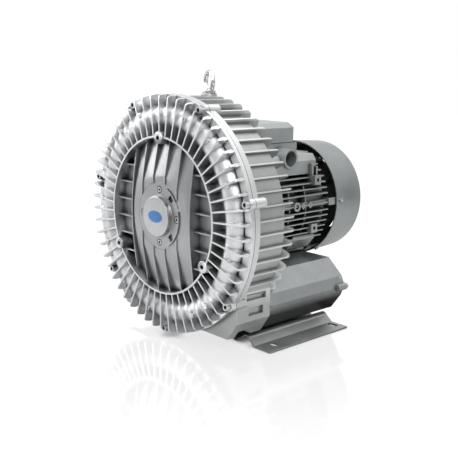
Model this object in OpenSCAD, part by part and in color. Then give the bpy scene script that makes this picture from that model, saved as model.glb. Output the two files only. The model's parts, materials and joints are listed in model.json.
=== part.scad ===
// Side-channel air blower: finned ring casing, direct-drive fan-cooled motor, two silencers, pressed base.
// Millimetres, +Z up, shaft along +Y from the cover to the fan cowl.
// The origin is on the floor, at the centre of the four foot slots.
// Stations along the shaft are measured from the rear face of the casing flange.

/* [Stand] */
// Height of the shaft above the floor
shaft_h = 233; // [228:1:260]
// Distance of the casing flange's rear face ahead of the foot slots' centre
case_ahead = 177; // [165:1:185]
// Width of the base over its two floor flanges
base_w = 392; // [380:1:430]
// Length of the base ahead of the foot slots' centre
base_front = 120; // [108:1:130]
// Length of the base behind the foot slots' centre
base_rear = 100; // [95:1:120]
// Thickness of the base's steel sheet
base_t = 3; // [2:0.5:4]
// Width of each floor flange
foot_w = 40; // [34:1:46]
// Height of the stiffening ridge above the floor
ridge_h = 19; // [14:1:21]
// Distance from the shaft's plane to the middle of the ridge
ridge_x = 134; // [128:1:140]
// Distance from the shaft's plane to the valley between ridge and centre plate
valley_x = 106; // [98:1:110]
// Half width of the raised centre plate
plate_half = 62; // [56:1:70]
// Distance between foot slots across the base
slot_span_x = 342; // [336:1:350]
// Distance between foot slots along the base
slot_span_y = 170; // [150:1:180]
// Width of a foot slot
slot_w = 12; // [9:0.5:14]
// Length of a foot slot
slot_len = 22; // [18:1:24]

/* [Casing] */
// Outer radius of the casing flange
flange_r = 220; // [217:1:226]
// Thickness of the cover's flange
cover_flange_t = 8; // [6:0.5:10]
// Thickness of the casing's flange
case_flange_t = 11.5; // [10:0.5:14]
// Thickness of the gasket between cover and casing
gasket_t = 1; // [0.5:0.5:2]
// Outer radius of the casing's barrel
case_r = 205; // [203:1:208]
// Wall thickness of the casing's barrel
case_wall = 4.5; // [3.5:0.5:6]
// Length of the barrel behind the flange
barrel_len = 74; // [70:1:80]
// Thickness of the casing's back wall
back_wall = 7; // [5:0.5:9]
// Number of cooling fins round the cover and round the casing
fin_n = 54; // [48:1:60]
// Thickness of a cover fin
fin_t = 3; // [2:0.2:4]
// Thickness of a casing fin
case_fin_t = 3; // [2:0.2:4]
// Height of the casing fins above the barrel
case_fin_h = 7; // [5:0.5:9]
// Length of the casing fins behind the flange
case_fin_len = 100; // [90:1:104]
// Angle of the first fin above the horizontal
fin_start = 4; // [0:0.5:6]
// Half of the sector at the bottom without casing fins
bare_half = 43; // [38:1:50]
// Number of bolts that hold the cover
flange_bolt_n = 7; // [6:1:9]
// Radius of the circle of cover bolts
flange_bolt_r = 217; // [215:1:221]
// Radius of the bosses round the cover bolts
flange_boss_r = 9.5; // [8:0.5:11]

/* [Air channel] */
// Half width of the annular air channel
chan_half = 17.5; // [14:0.5:19]
// Wall thickness over the air channel
chan_wall = 4; // [3:0.5:6]
// Depth of the channel's centre line in the wall
chan_sink = 1; // [0.5:0.5:2]
// Sector of the channel that the stripper closes
stripper_angle = 28; // [20:1:34]
// Radius of the passage from the channel to a silencer
port_r = 17; // [14:0.5:18]
// Drop of the port block's underside below the shaft
block_drop = 205; // [200:1:208]
// Width of the port block
block_w = 346; // [330:1:350]

/* [Cover] */
// Outer radius of the ring wall round the dish
ring_r = 146; // [142:1:150]
// Thickness of the ring wall
ring_t = 3.5; // [2.5:0.5:5]
// Height of the ring wall and the fins above the cover's joint face
ring_h = 27.5; // [25:0.5:32]
// Thickness of the dish's floor
floor_t = 5; // [3:0.5:7]
// Radius at which the fins begin to round down to the flange
fin_flat_r = 205; // [198:1:210]
// Distance between the ribs in the dish
rib_pitch = 33.5; // [32:0.5:35]
// Thickness of the ribs in the dish
rib_t = 2.6; // [1.8:0.2:3.6]
// Height of the ribs at the middle, above the joint face
rib_mid_h = 29.5; // [28:0.5:34]
// Height of the ribs at the ring wall, above the joint face
rib_edge_h = 16.5; // [12:0.5:20]
// Height of the raised strip at the middle, above the joint face
strip_mid_h = 27.5; // [25:0.5:29]
// Height of the raised strip at the ring wall, above the joint face
strip_edge_h = 6.5; // [6:0.5:9]
// Radius at which the raised strip begins to fall away
strip_flat_r = 75; // [70:1:84]
// Radius of the recess round the bearing cap
moat_r = 62; // [61:0.5:66]
// Radius of the bosses on the ring wall
ring_boss_r = 8.5; // [7:0.5:10]

/* [Bearing cap] */
// Radius of the cap's dome
cap_r = 37; // [35:1:40]
// Radius of the cap's flange
cap_flange_r = 58; // [57:0.5:60]
// Thickness of the cap's flange
cap_flange_t = 5; // [4:0.5:6]
// Height of the cap's dome above its seat
cap_h = 21; // [19:0.5:24]
// Radius of the circle of cap screws
cap_screw_r = 49; // [47:0.5:50]
// Length of the blank oval plate on the cap
badge_w = 37; // [30:1:44]
// Height of the blank oval plate on the cap
badge_h = 20; // [14:1:24]

/* [Impeller] */
// Axial width of the impeller's blade ring
imp_w = 44; // [38:1:48]
// Gap between impeller and casing, along the shaft
face_gap = 1.5; // [1:0.1:2]
// Gap between impeller and barrel
tip_gap = 1; // [0.6:0.1:1.5]
// Number of impeller blades
blade_n = 44; // [36:1:52]
// Thickness of an impeller blade
blade_t = 2.5; // [1.5:0.1:3]
// Thickness of the impeller's disc
disc_t = 12; // [8:1:16]

/* [Shaft and bearings] */
// Radius of the bearing bore
brg_bore_r = 15; // [14:0.5:16]
// Outer radius of the bearings
brg_od_r = 31; // [30:0.5:32]
// Width of the bearings
brg_w = 16; // [15:0.5:17]
// Radius of a bearing ball
ball_r = 4.75; // [4:0.25:5]
// Number of balls in a bearing
ball_n = 9; // [7:1:10]
// Radius of the shaft under the impeller
seat_r = 16; // [15.6:0.1:17]
// Radius of the shaft in the seal
seal_shaft_r = 20; // [19:0.5:22]
// Radius of the shaft in the rotor
core_shaft_r = 24; // [23:0.5:26]
// Radius of the shaft under the cooling fan
fan_shaft_r = 12; // [10:0.5:13]
// Running clearance between turning and still parts
run_clear = 0.05; // [0.02:0.01:0.1]
// Clearance of a seated or bolted piece
seat_clear = 0.1; // [0.05:0.05:0.3]

/* [Motor] */
// Outer radius of the motor frame's barrel
frame_r = 97; // [95:1:100]
// Radius over the motor's cooling fins
motor_fin_r = 118; // [114:1:119]
// Length of the motor frame
frame_len = 208; // [206:1:214]
// Distance between the motor's fins
motor_fin_pitch = 11; // [10:0.5:12]
// Thickness of the motor's fins
motor_fin_t = 2.6; // [2:0.2:3.4]
// Outer radius of the stator core
stator_r = 87.5; // [86:0.5:90]
// Length of the stator core
stator_len = 130; // [120:1:136]
// Outer radius of the rotor core
rotor_r = 53.5; // [50:0.5:56]
// Air gap between rotor and stator
air_gap = 0.5; // [0.4:0.1:1]
// Radius of the circle of tie bolts
tie_r = 106; // [104:0.5:108]
// Angle of the tie bolts above the horizontal
tie_angle = 3.4; // [0:0.2:6]

/* [Fan cowl] */
// Station of the cowl's front rim
cowl_y = 321; // [318:1:326]
// Length of the cowl
cowl_len = 91; // [84:1:100]
// Outer radius of the cowl's front rim
cowl_front_r = 120.5; // [120.5:0.5:124]
// Outer radius of the cowl's rear end
cowl_rear_r = 116.5; // [112:0.5:119]
// Thickness of the cowl's sheet
cowl_t = 2; // [1:0.5:2]
// Radius of the cowl's rear edge
cowl_round = 12; // [8:1:16]
// Number of grille slots in each ring
grille_n = 8; // [6:1:12]
// Number of cooling fan blades
fan_blade_n = 8; // [6:1:10]
// Radius of the cooling fan
fan_r = 92; // [80:1:100]

/* [Terminal box] */
// Width of the terminal box lid
lid_w = 148; // [140:1:156]
// Length of the terminal box lid
lid_len = 138; // [130:1:142]
// Height of the terminal box lid
lid_h = 37; // [30:1:44]
// Station of the terminal box's front
box_y = 112; // [108:1:120]
// Height of the terminal box rim above the shaft
box_top = 126; // [122:1:132]
// Corner radius of the lid
lid_corner = 24; // [16:1:30]
// Chamfer round the top of the lid
lid_chamfer = 9; // [5:1:12]
// Radius of the cable entry's threaded hole
entry_r = 15.2; // [12:0.1:16]
// Outer radius of the cable entry's boss
entry_boss_r = 19; // [18:0.5:21]

/* [Silencers] */
// Length of a silencer's body
sil_len = 204; // [190:1:214]
// Length of a silencer's end cover
sil_cover_len = 24; // [24:1:34]
// Distance from the shaft's plane to a silencer's outer ridge
sil_out = 174; // [170:1:178]
// Distance from the shaft's plane to a silencer's inner side
sil_in = 25; // [21:1:28]
// Drop of a silencer's top below the shaft
sil_top = 103; // [101:1:106]
// Wall thickness of a silencer
sil_wall = 4; // [3:0.5:6]
// Radius of the threaded air port
air_port_r = 28.4; // [24:0.1:30]

/* [Eye bolt] */
// Outer radius of the eye
eye_r = 22.5; // [20:0.5:25]
// Thickness of the eye
eye_t = 10; // [8:0.5:11]
// Turn of the eye about its own axis
eye_turn = -15; // [-90:5:90]
// Height of the eye bolt's seat above the shaft
eye_seat = 219; // [217:1:223]
// Station of the eye bolt
eye_y = 78; // [72:1:82]

/* [Hidden] */

// Resolution of the round forms
$fn = 96;
small_fn = 32;
eps = 0.01;

// Stations of the casing, from the rear face of its flange
case_front = -case_flange_t;
cover_y = case_front - gasket_t;
cover_front = cover_y - cover_flange_t;
fin_front = cover_y - ring_h;
imp_y0 = cover_y + face_gap;
imp_y1 = imp_y0 + imp_w;
back_y = imp_y1 + face_gap;
back_rear = back_y + back_wall;
bore_r = case_r - case_wall;
chan_edge = 2;
chan_r = bore_r - chan_edge - chan_half;
chan_front_y = cover_y - chan_sink;
chan_back_y = back_y + chan_sink;
block_rear = barrel_len + 3;
frame_y = barrel_len + 18;
frame_rear = frame_y + frame_len;

// Plain metric fastener sizes: shank radius, head radius, head height
m5 = [2.5, 4.25, 5];
m6 = [3, 5, 6];
m8 = [4, 6.5, 8];
hole_clear = 0.2;

// Bearing stations
cap_seat = cover_y - 16.5;
hub_floor_t = 5;
front_brg_y = cap_seat;
race_r = (brg_bore_r + brg_od_r) / 2;
seat_front = -4;
rear_brg_y = frame_rear - 8;
shield_t = 6;

strip_half = 2.5 * rib_pitch;
rib_places = [for (i = [-2.5:1:2.5]) i * rib_pitch];
fin_angles = [for (i = [0:fin_n - 1]) fin_start + i * 360 / fin_n];
flange_bolt_angles = [for (i = [0:flange_bolt_n - 1]) -90 + i * 360 / flange_bolt_n];
ring_boss_angles = [90, 210, 330];
quarter_turns = [0, 90, 180, 270];
tie_angles = [tie_angle, 180 - tie_angle, -60, -120];
plate_top = shaft_h - block_drop;
motor_fin_first = 3.5;
sil_rear = block_rear + sil_len;

alu_bright = [0.80, 0.81, 0.82];
alu_paint = [0.60, 0.62, 0.62];
steel = [0.66, 0.67, 0.69];
dark_steel = [0.42, 0.43, 0.44];
zinc = [0.78, 0.79, 0.80];
copper = [0.72, 0.42, 0.22];
rubber = [0.10, 0.10, 0.11];

// Carries what is drawn about the shaft to its place over the floor
module machine() { translate([0, -case_ahead, shaft_h]) children(); }

// Turns children about the shaft, from the horizontal upwards as seen from the cover
module at_angle(a) { rotate([0, -a, 0]) children(); }

// Solid of revolution about the shaft; the outline holds radius and station
module about_shaft() { rotate([-90, 0, 0]) rotate_extrude() children(); }

// Cylinder along the shaft direction between two stations
module rod(r, y0, y1) { translate([0, y0, 0]) rotate([-90, 0, 0]) cylinder(r = r, h = y1 - y0); }

// Tube along the shaft direction between two stations
module tube(r_out, r_in, y0, y1) {
    difference() {
        rod(r_out, y0, y1);
        rod(r_in, y0 - 1, y1 + 1);
    }
}

// Rod parallel to the shaft, at an angle and a radius round it
module rod_at(a, r_place, r, y0, y1) { at_angle(a) translate([r_place, 0, 0]) rod(r, y0, y1); }

// Plate that stands out from the shaft at an angle; the outline holds radius and station
module radial_plate(a, t) { at_angle(a) linear_extrude(height = t, center = true) children(); }

// Full torus about the shaft
module ring_of(r_ring, r_tube, y) {
    rotate([-90, 0, 0]) rotate_extrude() translate([r_ring, y]) circle(r = r_tube, $fn = 64);
}

// Air channel about the shaft, left solid in the stripper's sector at the bottom
module channel(y, r_tube) {
    rotate([-90, 0, 0]) rotate([0, 0, 90 + stripper_angle / 2])
        rotate_extrude(angle = 360 - stripper_angle) translate([chan_r, y]) circle(r = r_tube, $fn = 64);
}

// Outline of the flange of cover, gasket and casing, with the ears round its bolts
module flange_outline(margin = 0) {
    circle(r = flange_r + margin);
    for (a = flange_bolt_angles)
        rotate(a) translate([flange_bolt_r, 0]) circle(r = flange_boss_r + margin, $fn = small_fn);
}

// Block between two corners
module block(a, b) { translate(a) cube(b - a); }

// Socket screw along the shaft direction, its head's underside at the origin, its shank towards +Y
module socket_screw(size, length) {
    difference() {
        rod(size[1], -size[2], 0, $fn = small_fn);
        rotate([-90, 0, 0]) translate([0, 0, -size[2] - 1]) cylinder(r = size[0], h = size[2] * 0.6 + 1, $fn = 6);
    }
    rod(size[0], -eps, length, $fn = small_fn);
}

// Hexagon-headed bolt along the shaft direction, its shank towards +Y
module hex_bolt(size, length) {
    translate([0, -size[2] * 0.7, 0]) rotate([-90, 0, 0]) cylinder(r = size[1] * 1.12, h = size[2] * 0.7, $fn = 6);
    rod(size[0], -eps, length, $fn = small_fn);
}

// The same form on both sides of the shaft's plane
module both_sides() {
    children();
    mirror([1, 0, 0]) children();
}

// Prism along the shaft direction; the outline holds width and height
module section(y0, y1) { translate([0, y1, 0]) rotate([90, 0, 0]) linear_extrude(y1 - y0) children(); }

// Turned about so that a screw's shank points to the cover
module reversed() { rotate([0, 0, 180]) children(); }

// Quarter of an ellipse from the side of its first radius to its second, about a centre
function arc(c, rx, ry, a0, a1, n) =
    [for (i = [0:n]) let (a = a0 + (a1 - a0) * i / n) [c[0] + rx * cos(a), c[1] + ry * sin(a)]];

// Outline of one cover fin: flat in front, rounded down to the flange
fin_end_r = flange_r - 0.5;
fin_step = 0.4;
module cover_fin_outline() {
    polygon(concat(
        [[ring_r - ring_t / 2, cover_y - floor_t / 2], [ring_r - ring_t / 2, fin_front + fin_step]],
        arc([fin_flat_r, cover_front + 1], fin_end_r - fin_flat_r, ring_h - cover_flange_t + 1 - fin_step, -90, 0, 5),
        [[fin_end_r, cover_y - floor_t / 2]]));
}

// Crowned form of the dish: a height in the middle that falls away to another at the ring wall
module crown(mid_h, edge_h) {
    about_shaft() polygon([[0, cover_y - floor_t / 2], [0, cover_y - mid_h], [strip_flat_r, cover_y - mid_h],
        [ring_r - ring_t / 2, cover_y - edge_h], [ring_r - ring_t / 2, cover_y - floor_t / 2]]);
}

// Hollow behind the raised strip
module strip_hollow() {
    hub_r = brg_od_r + 8;
    ceiling = cover_y - strip_mid_h + floor_t;
    slope = (strip_mid_h - strip_edge_h) / (ring_r - ring_t / 2 - strip_flat_r);
    end_r = ring_r - 16;
    intersection() {
        about_shaft() polygon([[hub_r, cover_y + 1], [hub_r, cap_seat + hub_floor_t],
            [moat_r + floor_t, cap_seat + hub_floor_t], [moat_r + floor_t, ceiling], [strip_flat_r, ceiling],
            [end_r, ceiling + slope * (end_r - strip_flat_r)], [end_r, cover_y + 1]]);
        block([-strip_half + floor_t, fin_front, -flange_r], [strip_half - floor_t, cover_y + 2, flange_r]);
    }
}

// Ribs of the dish: upright on the raised strip, level beside it
module dish_ribs() {
    intersection() {
        crown(rib_mid_h, rib_edge_h);
        for (x = rib_places)
            block([x - rib_t / 2, fin_front - 9, -ring_r], [x + rib_t / 2, cover_y, ring_r]);
    }
    side_rib_h = ring_h - 10;
    difference() {
        intersection() {
            rod(ring_r - ring_t / 2, cover_y - side_rib_h, cover_y - floor_t / 2);
            for (z = rib_places)
                block([-ring_r, fin_front, z - rib_t / 2], [ring_r, cover_y, z + rib_t / 2]);
        }
        block([-strip_half, fin_front - 1, -ring_r], [strip_half, cover_y - floor_t, ring_r]);
    }
}

mid_boss_fins = [0, 3, 7, 10, 16, 19, 23, 26, 30, 34, 38, 44, 46, 51];
mid_boss_r = 190;

module front_cover() {
    color(alu_bright) machine() difference() {
        union() {
            difference() {
                union() {
                    difference() {
                        section(cover_front, cover_y) flange_outline();
                        rod(case_r, cover_front - 1, cover_y - floor_t);
                    }
                    difference() {
                        ring_of(chan_r, chan_half + chan_wall, chan_front_y);
                        rod(flange_r, cover_y - floor_t / 2, cover_y + chan_half * 2);
                    }
                    tube(ring_r, ring_r - ring_t, fin_front, cover_y - floor_t / 2);
                    for (a = fin_angles)
                        radial_plate(a, fin_t) cover_fin_outline();
                    intersection() {
                        crown(strip_mid_h, strip_edge_h);
                        block([-strip_half, fin_front - 1, -ring_r], [strip_half, cover_y, ring_r]);
                    }
                    dish_ribs();
                }
                strip_hollow();
                rod(moat_r, fin_front - 9, cap_seat);
            }
            rod(brg_od_r + 9, cap_seat + 1, cap_seat + brg_w + 4);
            for (a = quarter_turns)
                rod_at(a, cap_screw_r, m6[0] + 4, cap_seat + 1, cap_seat + 14, $fn = small_fn);
            for (a = ring_boss_angles)
                rod_at(a, ring_r - ring_t, ring_boss_r, fin_front - 4, cover_y - floor_t / 2, $fn = small_fn);
            for (i = mid_boss_fins)
                rod_at(fin_angles[i], mid_boss_r, 5, fin_front + 2.5, fin_front + 12, $fn = small_fn);
            for (a = flange_bolt_angles)
                rod_at(a, flange_bolt_r, flange_boss_r - 0.5, cover_front - 2, cover_front + 2, $fn = small_fn);
        }
        channel(chan_front_y, chan_half);
        rod(brg_od_r + run_clear, cap_seat - 1, cap_seat + brg_w);
        rod(brg_od_r - 5, cap_seat, cap_seat + brg_w + 5);
        for (a = quarter_turns)
            rod_at(a, cap_screw_r, m6[0] + hole_clear, cap_seat - 1, cap_seat + 12, $fn = small_fn);
        for (a = ring_boss_angles)
            rod_at(a, ring_r - ring_t, 4, fin_front - 5, fin_front + 12, $fn = small_fn);
        for (i = mid_boss_fins)
            rod_at(fin_angles[i], mid_boss_r, 2, fin_front + 2, fin_front + 8, $fn = small_fn);
        for (a = flange_bolt_angles) {
            rod_at(a, flange_bolt_r, m8[0] + hole_clear, cover_front - 3, cover_y + 1, $fn = small_fn);
            rod_at(a, flange_bolt_r, m8[1] + 1, fin_front - 1, cover_front - 2, $fn = small_fn);
        }
    }
}

module cover_gasket() {
    color(rubber) machine() section(cover_y, case_front) difference() {
        flange_outline(-1);
        circle(r = bore_r + 0.5);
        for (a = flange_bolt_angles)
            rotate(a) translate([flange_bolt_r, 0]) circle(r = m8[0] + 2 * hole_clear, $fn = small_fn);
    }
}

module bearing_cap() {
    dome_round = 4;
    seat = cap_seat - seat_clear;
    color(alu_bright) machine() difference() {
        union() {
            rod(cap_flange_r, seat - cap_flange_t, seat);
            about_shaft() polygon(concat([[0, seat - cap_flange_t / 2], [0, seat - cap_h]],
                arc([cap_r - dome_round, seat - cap_h + dome_round], dome_round, dome_round, -90, 0, 5),
                [[cap_r + 1, seat - cap_flange_t / 2]]));
        }
        rod(brg_od_r - 5, seat - cap_h + 4, seat + 1);
        for (a = quarter_turns)
            rod_at(a, cap_screw_r, m6[0] + hole_clear, seat - cap_flange_t - 1, seat + 1, $fn = small_fn);
    }
}

module cap_screws() {
    color(zinc) machine() for (a = quarter_turns)
        at_angle(a) translate([cap_screw_r, cap_seat - seat_clear - cap_flange_t, 0]) socket_screw(m6, 14);
}

module cap_badge() {
    badge_t = 0.8;
    color([0.05, 0.35, 0.62]) machine() translate([0, cap_seat - seat_clear - cap_h, 0]) rotate([90, 0, 0])
        linear_extrude(badge_t) intersection() {
            translate([-badge_w / 2, -badge_h / 2]) square([badge_w, badge_h]);
            circle(r = badge_w / 2, $fn = small_fn);
        }
}

module cover_bolts() {
    color(zinc) machine() for (a = flange_bolt_angles)
        at_angle(a) translate([flange_bolt_r, cover_front - 2, 0]) socket_screw(m8, 30);
}

// Outline of one casing fin: low on the barrel, deep behind the back wall, round at its rear corner
spigot_r = frame_r + 4;
module case_fin_outline() {
    tip_r = case_r + case_fin_h;
    corner = 14;
    polygon(concat(
        [[case_r - 2, -1], [tip_r, -1]],
        arc([tip_r - corner, case_fin_len - corner], corner, corner, 0, 90, 5),
        [[chan_r - 30, case_fin_len], [spigot_r + 8, frame_y - 8], [spigot_r - 2, frame_y - 8],
            [spigot_r - 2, back_y + 2], [case_r - 2, back_y + 2]]));
}

// Air left round a silencer, and the corners of its section, grown by a margin
sil_gap = 1.5;
function sil_points(m) = let (xi = sil_in - m, xo = sil_out + m, zt = -sil_top + m, zb = -block_drop - m)
    [[xi + 11, zt], [xo - 43, zt], [xo - 8, zt - 31], [xo, (zt + zb) / 2], [xo - 8, zb + 31], [xo - 31, zb],
        [xi + 11, zb], [xi, zb + 11], [xi, zt - 11]];

port_x = (sil_in + sil_out) / 2;
port_z = -sqrt(chan_r * chan_r - port_x * port_x);
sil_mid = -(sil_top + block_drop) / 2;
sil_bolt_places = [[sil_in + 17, -sil_top - 15], [sil_in + 17, -block_drop + 15], [sil_out - 20, sil_mid - 12]];
base_bolt_x = sil_in + 20;
base_bolt_len = 12;
block_bolt_y = block_rear - 10;
sil_bolt_y = sil_rear - 31;

module port_block_form() {
    section(-case_flange_t / 2, block_rear) polygon([[-block_w / 2, -sil_top], [block_w / 2, -sil_top],
        [block_w / 2, -block_drop + 33], [block_w / 2 - 23, -block_drop], [-block_w / 2 + 23, -block_drop],
        [-block_w / 2, -block_drop + 33]]);
}

// Pockets that lighten the port block
module port_block_pockets() {
    both_sides() {
        block([block_w / 2 - 6, 18, -134], [block_w / 2 + 1, 66, -122]);
        block([block_w / 2 - 6, 24, -162], [block_w / 2 + 1, 60, -147]);
        block([70, 12, -block_drop - 1], [block_w / 2 + 1, 52, -block_drop + 13]);
    }
}

module rear_casing() {
    eye_hole = 26;
    color(alu_paint) machine() difference() {
        union() {
            section(case_front, 0) flange_outline();
            about_shaft() polygon([[0, case_front + 2], [case_r, case_front + 2], [case_r, barrel_len],
                [bore_r, barrel_len], [bore_r, back_rear], [0, back_rear]]);
            difference() {
                ring_of(chan_r, chan_half + chan_wall, chan_back_y);
                rod(flange_r, back_y - chan_half * 2, back_y + back_wall / 2);
            }
            difference() {
                about_shaft() polygon([[stator_r - 3, back_rear - 1], [spigot_r, back_rear - 1],
                    [spigot_r, frame_y - 12], [tie_r + 7, frame_y - 12], [tie_r + 7, frame_y],
                    [stator_r - 3, frame_y]]);
                both_sides() section(block_rear - 1, frame_y + 1) polygon(sil_points(sil_gap));
            }
            rod(seal_shaft_r + 14, back_rear - 1, back_rear + 11);
            difference() {
                for (a = fin_angles)
                    if (abs(((a + 90 + 540) % 360) - 180) > bare_half)
                        radial_plate(a, case_fin_t) case_fin_outline();
                both_sides() section(block_rear - 1, case_fin_len + 1) polygon(sil_points(sil_gap));
            }
            difference() {
                port_block_form();
                port_block_pockets();
            }
            for (a = flange_bolt_angles)
                rod_at(a, flange_bolt_r, flange_boss_r - 0.5, -2, 14, $fn = small_fn);
            translate([0, eye_y, case_r - 60]) cylinder(r = 15, h = eye_seat - case_r + 60, $fn = small_fn);
        }
        rod(bore_r, case_front - 1, back_y);
        channel(chan_back_y, chan_half);
        both_sides() translate([port_x, 0, port_z]) rod(port_r, back_y + 3, block_rear + 1, $fn = small_fn);
        rod(seal_shaft_r + 2, back_y - 1, back_rear + 12);
        rod(seal_shaft_r + 10, back_rear + 2, back_rear + 12);
        for (a = flange_bolt_angles)
            rod_at(a, flange_bolt_r, m8[0] + hole_clear, case_front - 1, 12, $fn = small_fn);
        for (a = tie_angles)
            rod_at(a, tie_r, m6[0] + hole_clear, frame_y - 11, frame_y + 1, $fn = small_fn);
        translate([0, eye_y, eye_seat - eye_hole]) cylinder(r = 5 + hole_clear, h = eye_hole + 1, $fn = small_fn);
        both_sides() {
            for (p = sil_bolt_places)
                translate([p[0], 0, p[1]]) rod(m8[0] + hole_clear, block_rear - 16, block_rear + 1, $fn = small_fn);
            translate([base_bolt_x, block_bolt_y, -block_drop - 1])
                cylinder(r = m8[0] + hole_clear, h = base_bolt_len, $fn = small_fn);
        }
    }
}

module shaft_seal() {
    color(rubber) machine() tube(seal_shaft_r + 10 - seat_clear, seal_shaft_r + run_clear,
        back_rear + 2 + seat_clear, back_rear + 11);
}

module eye_bolt() {
    collar_h = 8;
    collar_r = 12.5;
    color(zinc) machine() translate([0, eye_y, eye_seat + seat_clear]) rotate([0, 0, eye_turn]) {
        cylinder(r = collar_r, h = collar_h, $fn = small_fn);
        translate([0, 0, -24]) cylinder(r = 5, h = 25, $fn = small_fn);
        translate([0, 0, eye_r]) rotate([90, 0, 0]) rotate_extrude($fn = 64)
            translate([eye_r - eye_t / 2, 0]) circle(r = eye_t / 2, $fn = small_fn);
    }
}

// Rings of a deep-groove ball bearing whose front face is at a station
race_clear = 0.08;
module brg_outer(y) {
    difference() {
        tube(brg_od_r, race_r + 3.4, y, y + brg_w);
        ring_of(race_r, ball_r + race_clear, y + brg_w / 2);
    }
}
module brg_inner(y) {
    difference() {
        tube(race_r - 3.2, brg_bore_r, y, y + brg_w);
        ring_of(race_r, ball_r + race_clear, y + brg_w / 2);
    }
}

// Balls of a bearing in their cage
module brg_balls(y) {
    cage_w = 2 * ball_r + 2.5;
    cage_half_t = 1.2;
    for (i = [0:ball_n - 1])
        at_angle(i * 360 / ball_n) translate([race_r, y + brg_w / 2, 0]) sphere(r = ball_r);
    difference() {
        tube(race_r + cage_half_t, race_r - cage_half_t, y + (brg_w - cage_w) / 2, y + (brg_w + cage_w) / 2);
        for (i = [0:ball_n - 1])
            at_angle(i * 360 / ball_n) translate([race_r - 3, y + brg_w / 2, 0]) rotate([0, 90, 0])
                cylinder(r = ball_r + race_clear, h = 6);
    }
}

module front_bearing_outer() { color(steel) machine() brg_outer(front_brg_y); }
module front_bearing_balls() { color(zinc) machine() brg_balls(front_brg_y); }
module front_bearing_inner() { color(steel) machine() brg_inner(front_brg_y); }
module rear_bearing_outer() { color(steel) machine() brg_outer(rear_brg_y); }
module rear_bearing_balls() { color(zinc) machine() brg_balls(rear_brg_y); }
module rear_bearing_inner() { color(steel) machine() brg_inner(rear_brg_y); }

// The impeller's disc carries blades on both sides of a thin web in its rim
key_w = 5;
key_h = 5.6;
module impeller() {
    mid = (imp_y0 + imp_y1) / 2;
    tip_r = bore_r - tip_gap;
    root_r = chan_r - chan_half;
    web_t = 4;
    blade_step = 0.5;
    color(alu_bright) machine() difference() {
        union() {
            about_shaft() polygon([[0, seat_front], [2 * seat_r, seat_front], [2 * seat_r, mid - disc_t / 2],
                [root_r - 6, mid - disc_t / 2], [root_r - 6, imp_y0], [root_r + 2, imp_y0],
                [root_r + 2, mid - web_t / 2], [tip_r, mid - web_t / 2], [tip_r, mid + web_t / 2],
                [root_r + 2, mid + web_t / 2], [root_r + 2, imp_y1], [root_r - 6, imp_y1],
                [root_r - 6, mid + disc_t / 2], [2 * seat_r, mid + disc_t / 2], [2 * seat_r, imp_y1 + 1],
                [0, imp_y1 + 1]]);
            for (i = [0:blade_n - 1])
                radial_plate(i * 360 / blade_n, blade_t)
                    translate([root_r - 1, imp_y0 + blade_step])
                        square([tip_r - root_r + 0.5, imp_w - 2 * blade_step]);
        }
        rod(seat_r, seat_front - 1, imp_y1 + 2);
        block([seat_r - 4, seat_front - 1, -key_w / 2], [seat_r + key_h / 2, imp_y1 + 2, key_w / 2]);
        for (a = [30:60:330])
            rod_at(a, (2 * seat_r + root_r) / 2, 9, mid - disc_t, mid + disc_t, $fn = small_fn);
    }
}

module impeller_key() {
    color(steel) machine() block([seat_r - key_h / 2, seat_front + 2, -key_w / 2 + seat_clear],
        [seat_r + key_h / 2 - seat_clear, imp_y1 - 3, key_w / 2 - seat_clear]);
}

module spacer_sleeve() {
    color(steel) machine() tube(race_r - 3.2, brg_bore_r + run_clear, front_brg_y + brg_w, seat_front);
}

shaft_front = front_brg_y - 0.5;
washer_t = 3;
module shaft_washer() {
    color(zinc) machine() tube(race_r - 4, m8[0] + hole_clear, shaft_front + 0.5 - washer_t, shaft_front + 0.5 - eps);
}
module shaft_screw() {
    color(zinc) machine() translate([0, shaft_front + 0.5 - washer_t - eps, 0]) hex_bolt(m8, 30);
}

// Steps of the shaft: bearing, impeller, seal, rotor, rear bearing, fan
core_y = frame_y + 26;
core_len = stator_len - 4;
fan_y = rear_brg_y + brg_w + 20;
fan_hub_len = 24;
shaft_rear = fan_y + fan_hub_len + 6;
module shaft() {
    color(steel) machine() difference() {
        union() {
            rod(brg_bore_r, shaft_front + 0.6, seat_front + 1);
            rod(seat_r, seat_front + 0.3, imp_y1 + 2);
            rod(seal_shaft_r, imp_y1 + 1.1, core_y + 1);
            rod(core_shaft_r, core_y, core_y + core_len + 10);
            rod(seal_shaft_r, core_y + core_len + 9, rear_brg_y);
            rod(brg_bore_r, rear_brg_y - 1, rear_brg_y + brg_w + 2);
            rod(fan_shaft_r, rear_brg_y + brg_w + 1, shaft_rear);
        }
        rod(m8[0] + hole_clear, shaft_front - 1, shaft_front + 34, $fn = small_fn);
        block([seat_r - key_h / 2 - seat_clear, seat_front + 1.5, -key_w / 2], [seat_r + 4, imp_y1 - 2.5, key_w / 2]);
        tube(fan_shaft_r + 2, fan_shaft_r - 1, shaft_rear - 4.7, shaft_rear - 3.2);
    }
}

// Laminated core with its two end rings
module rotor_core() {
    ring_w = 9;
    y0 = core_y + 0.3;
    color(dark_steel) machine() difference() {
        union() {
            rod(rotor_r, y0, y0 + core_len);
            tube(rotor_r - 3, rotor_r - 17, y0 - ring_w, y0 + core_len + ring_w);
        }
        rod(core_shaft_r, y0 - ring_w - 1, y0 + core_len + ring_w + 1);
    }
}

stator_y = frame_y + 24;
slot_n = 24;
module stator_core() {
    slot_depth = 16;
    color(dark_steel) machine() difference() {
        tube(stator_r, rotor_r + air_gap, stator_y, stator_y + stator_len);
        for (i = [0:slot_n - 1])
            at_angle(i * 360 / slot_n) block([rotor_r + air_gap + 1, stator_y - 1, -2],
                [rotor_r + air_gap + slot_depth, stator_y + stator_len + 1, 2]);
    }
}

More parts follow.
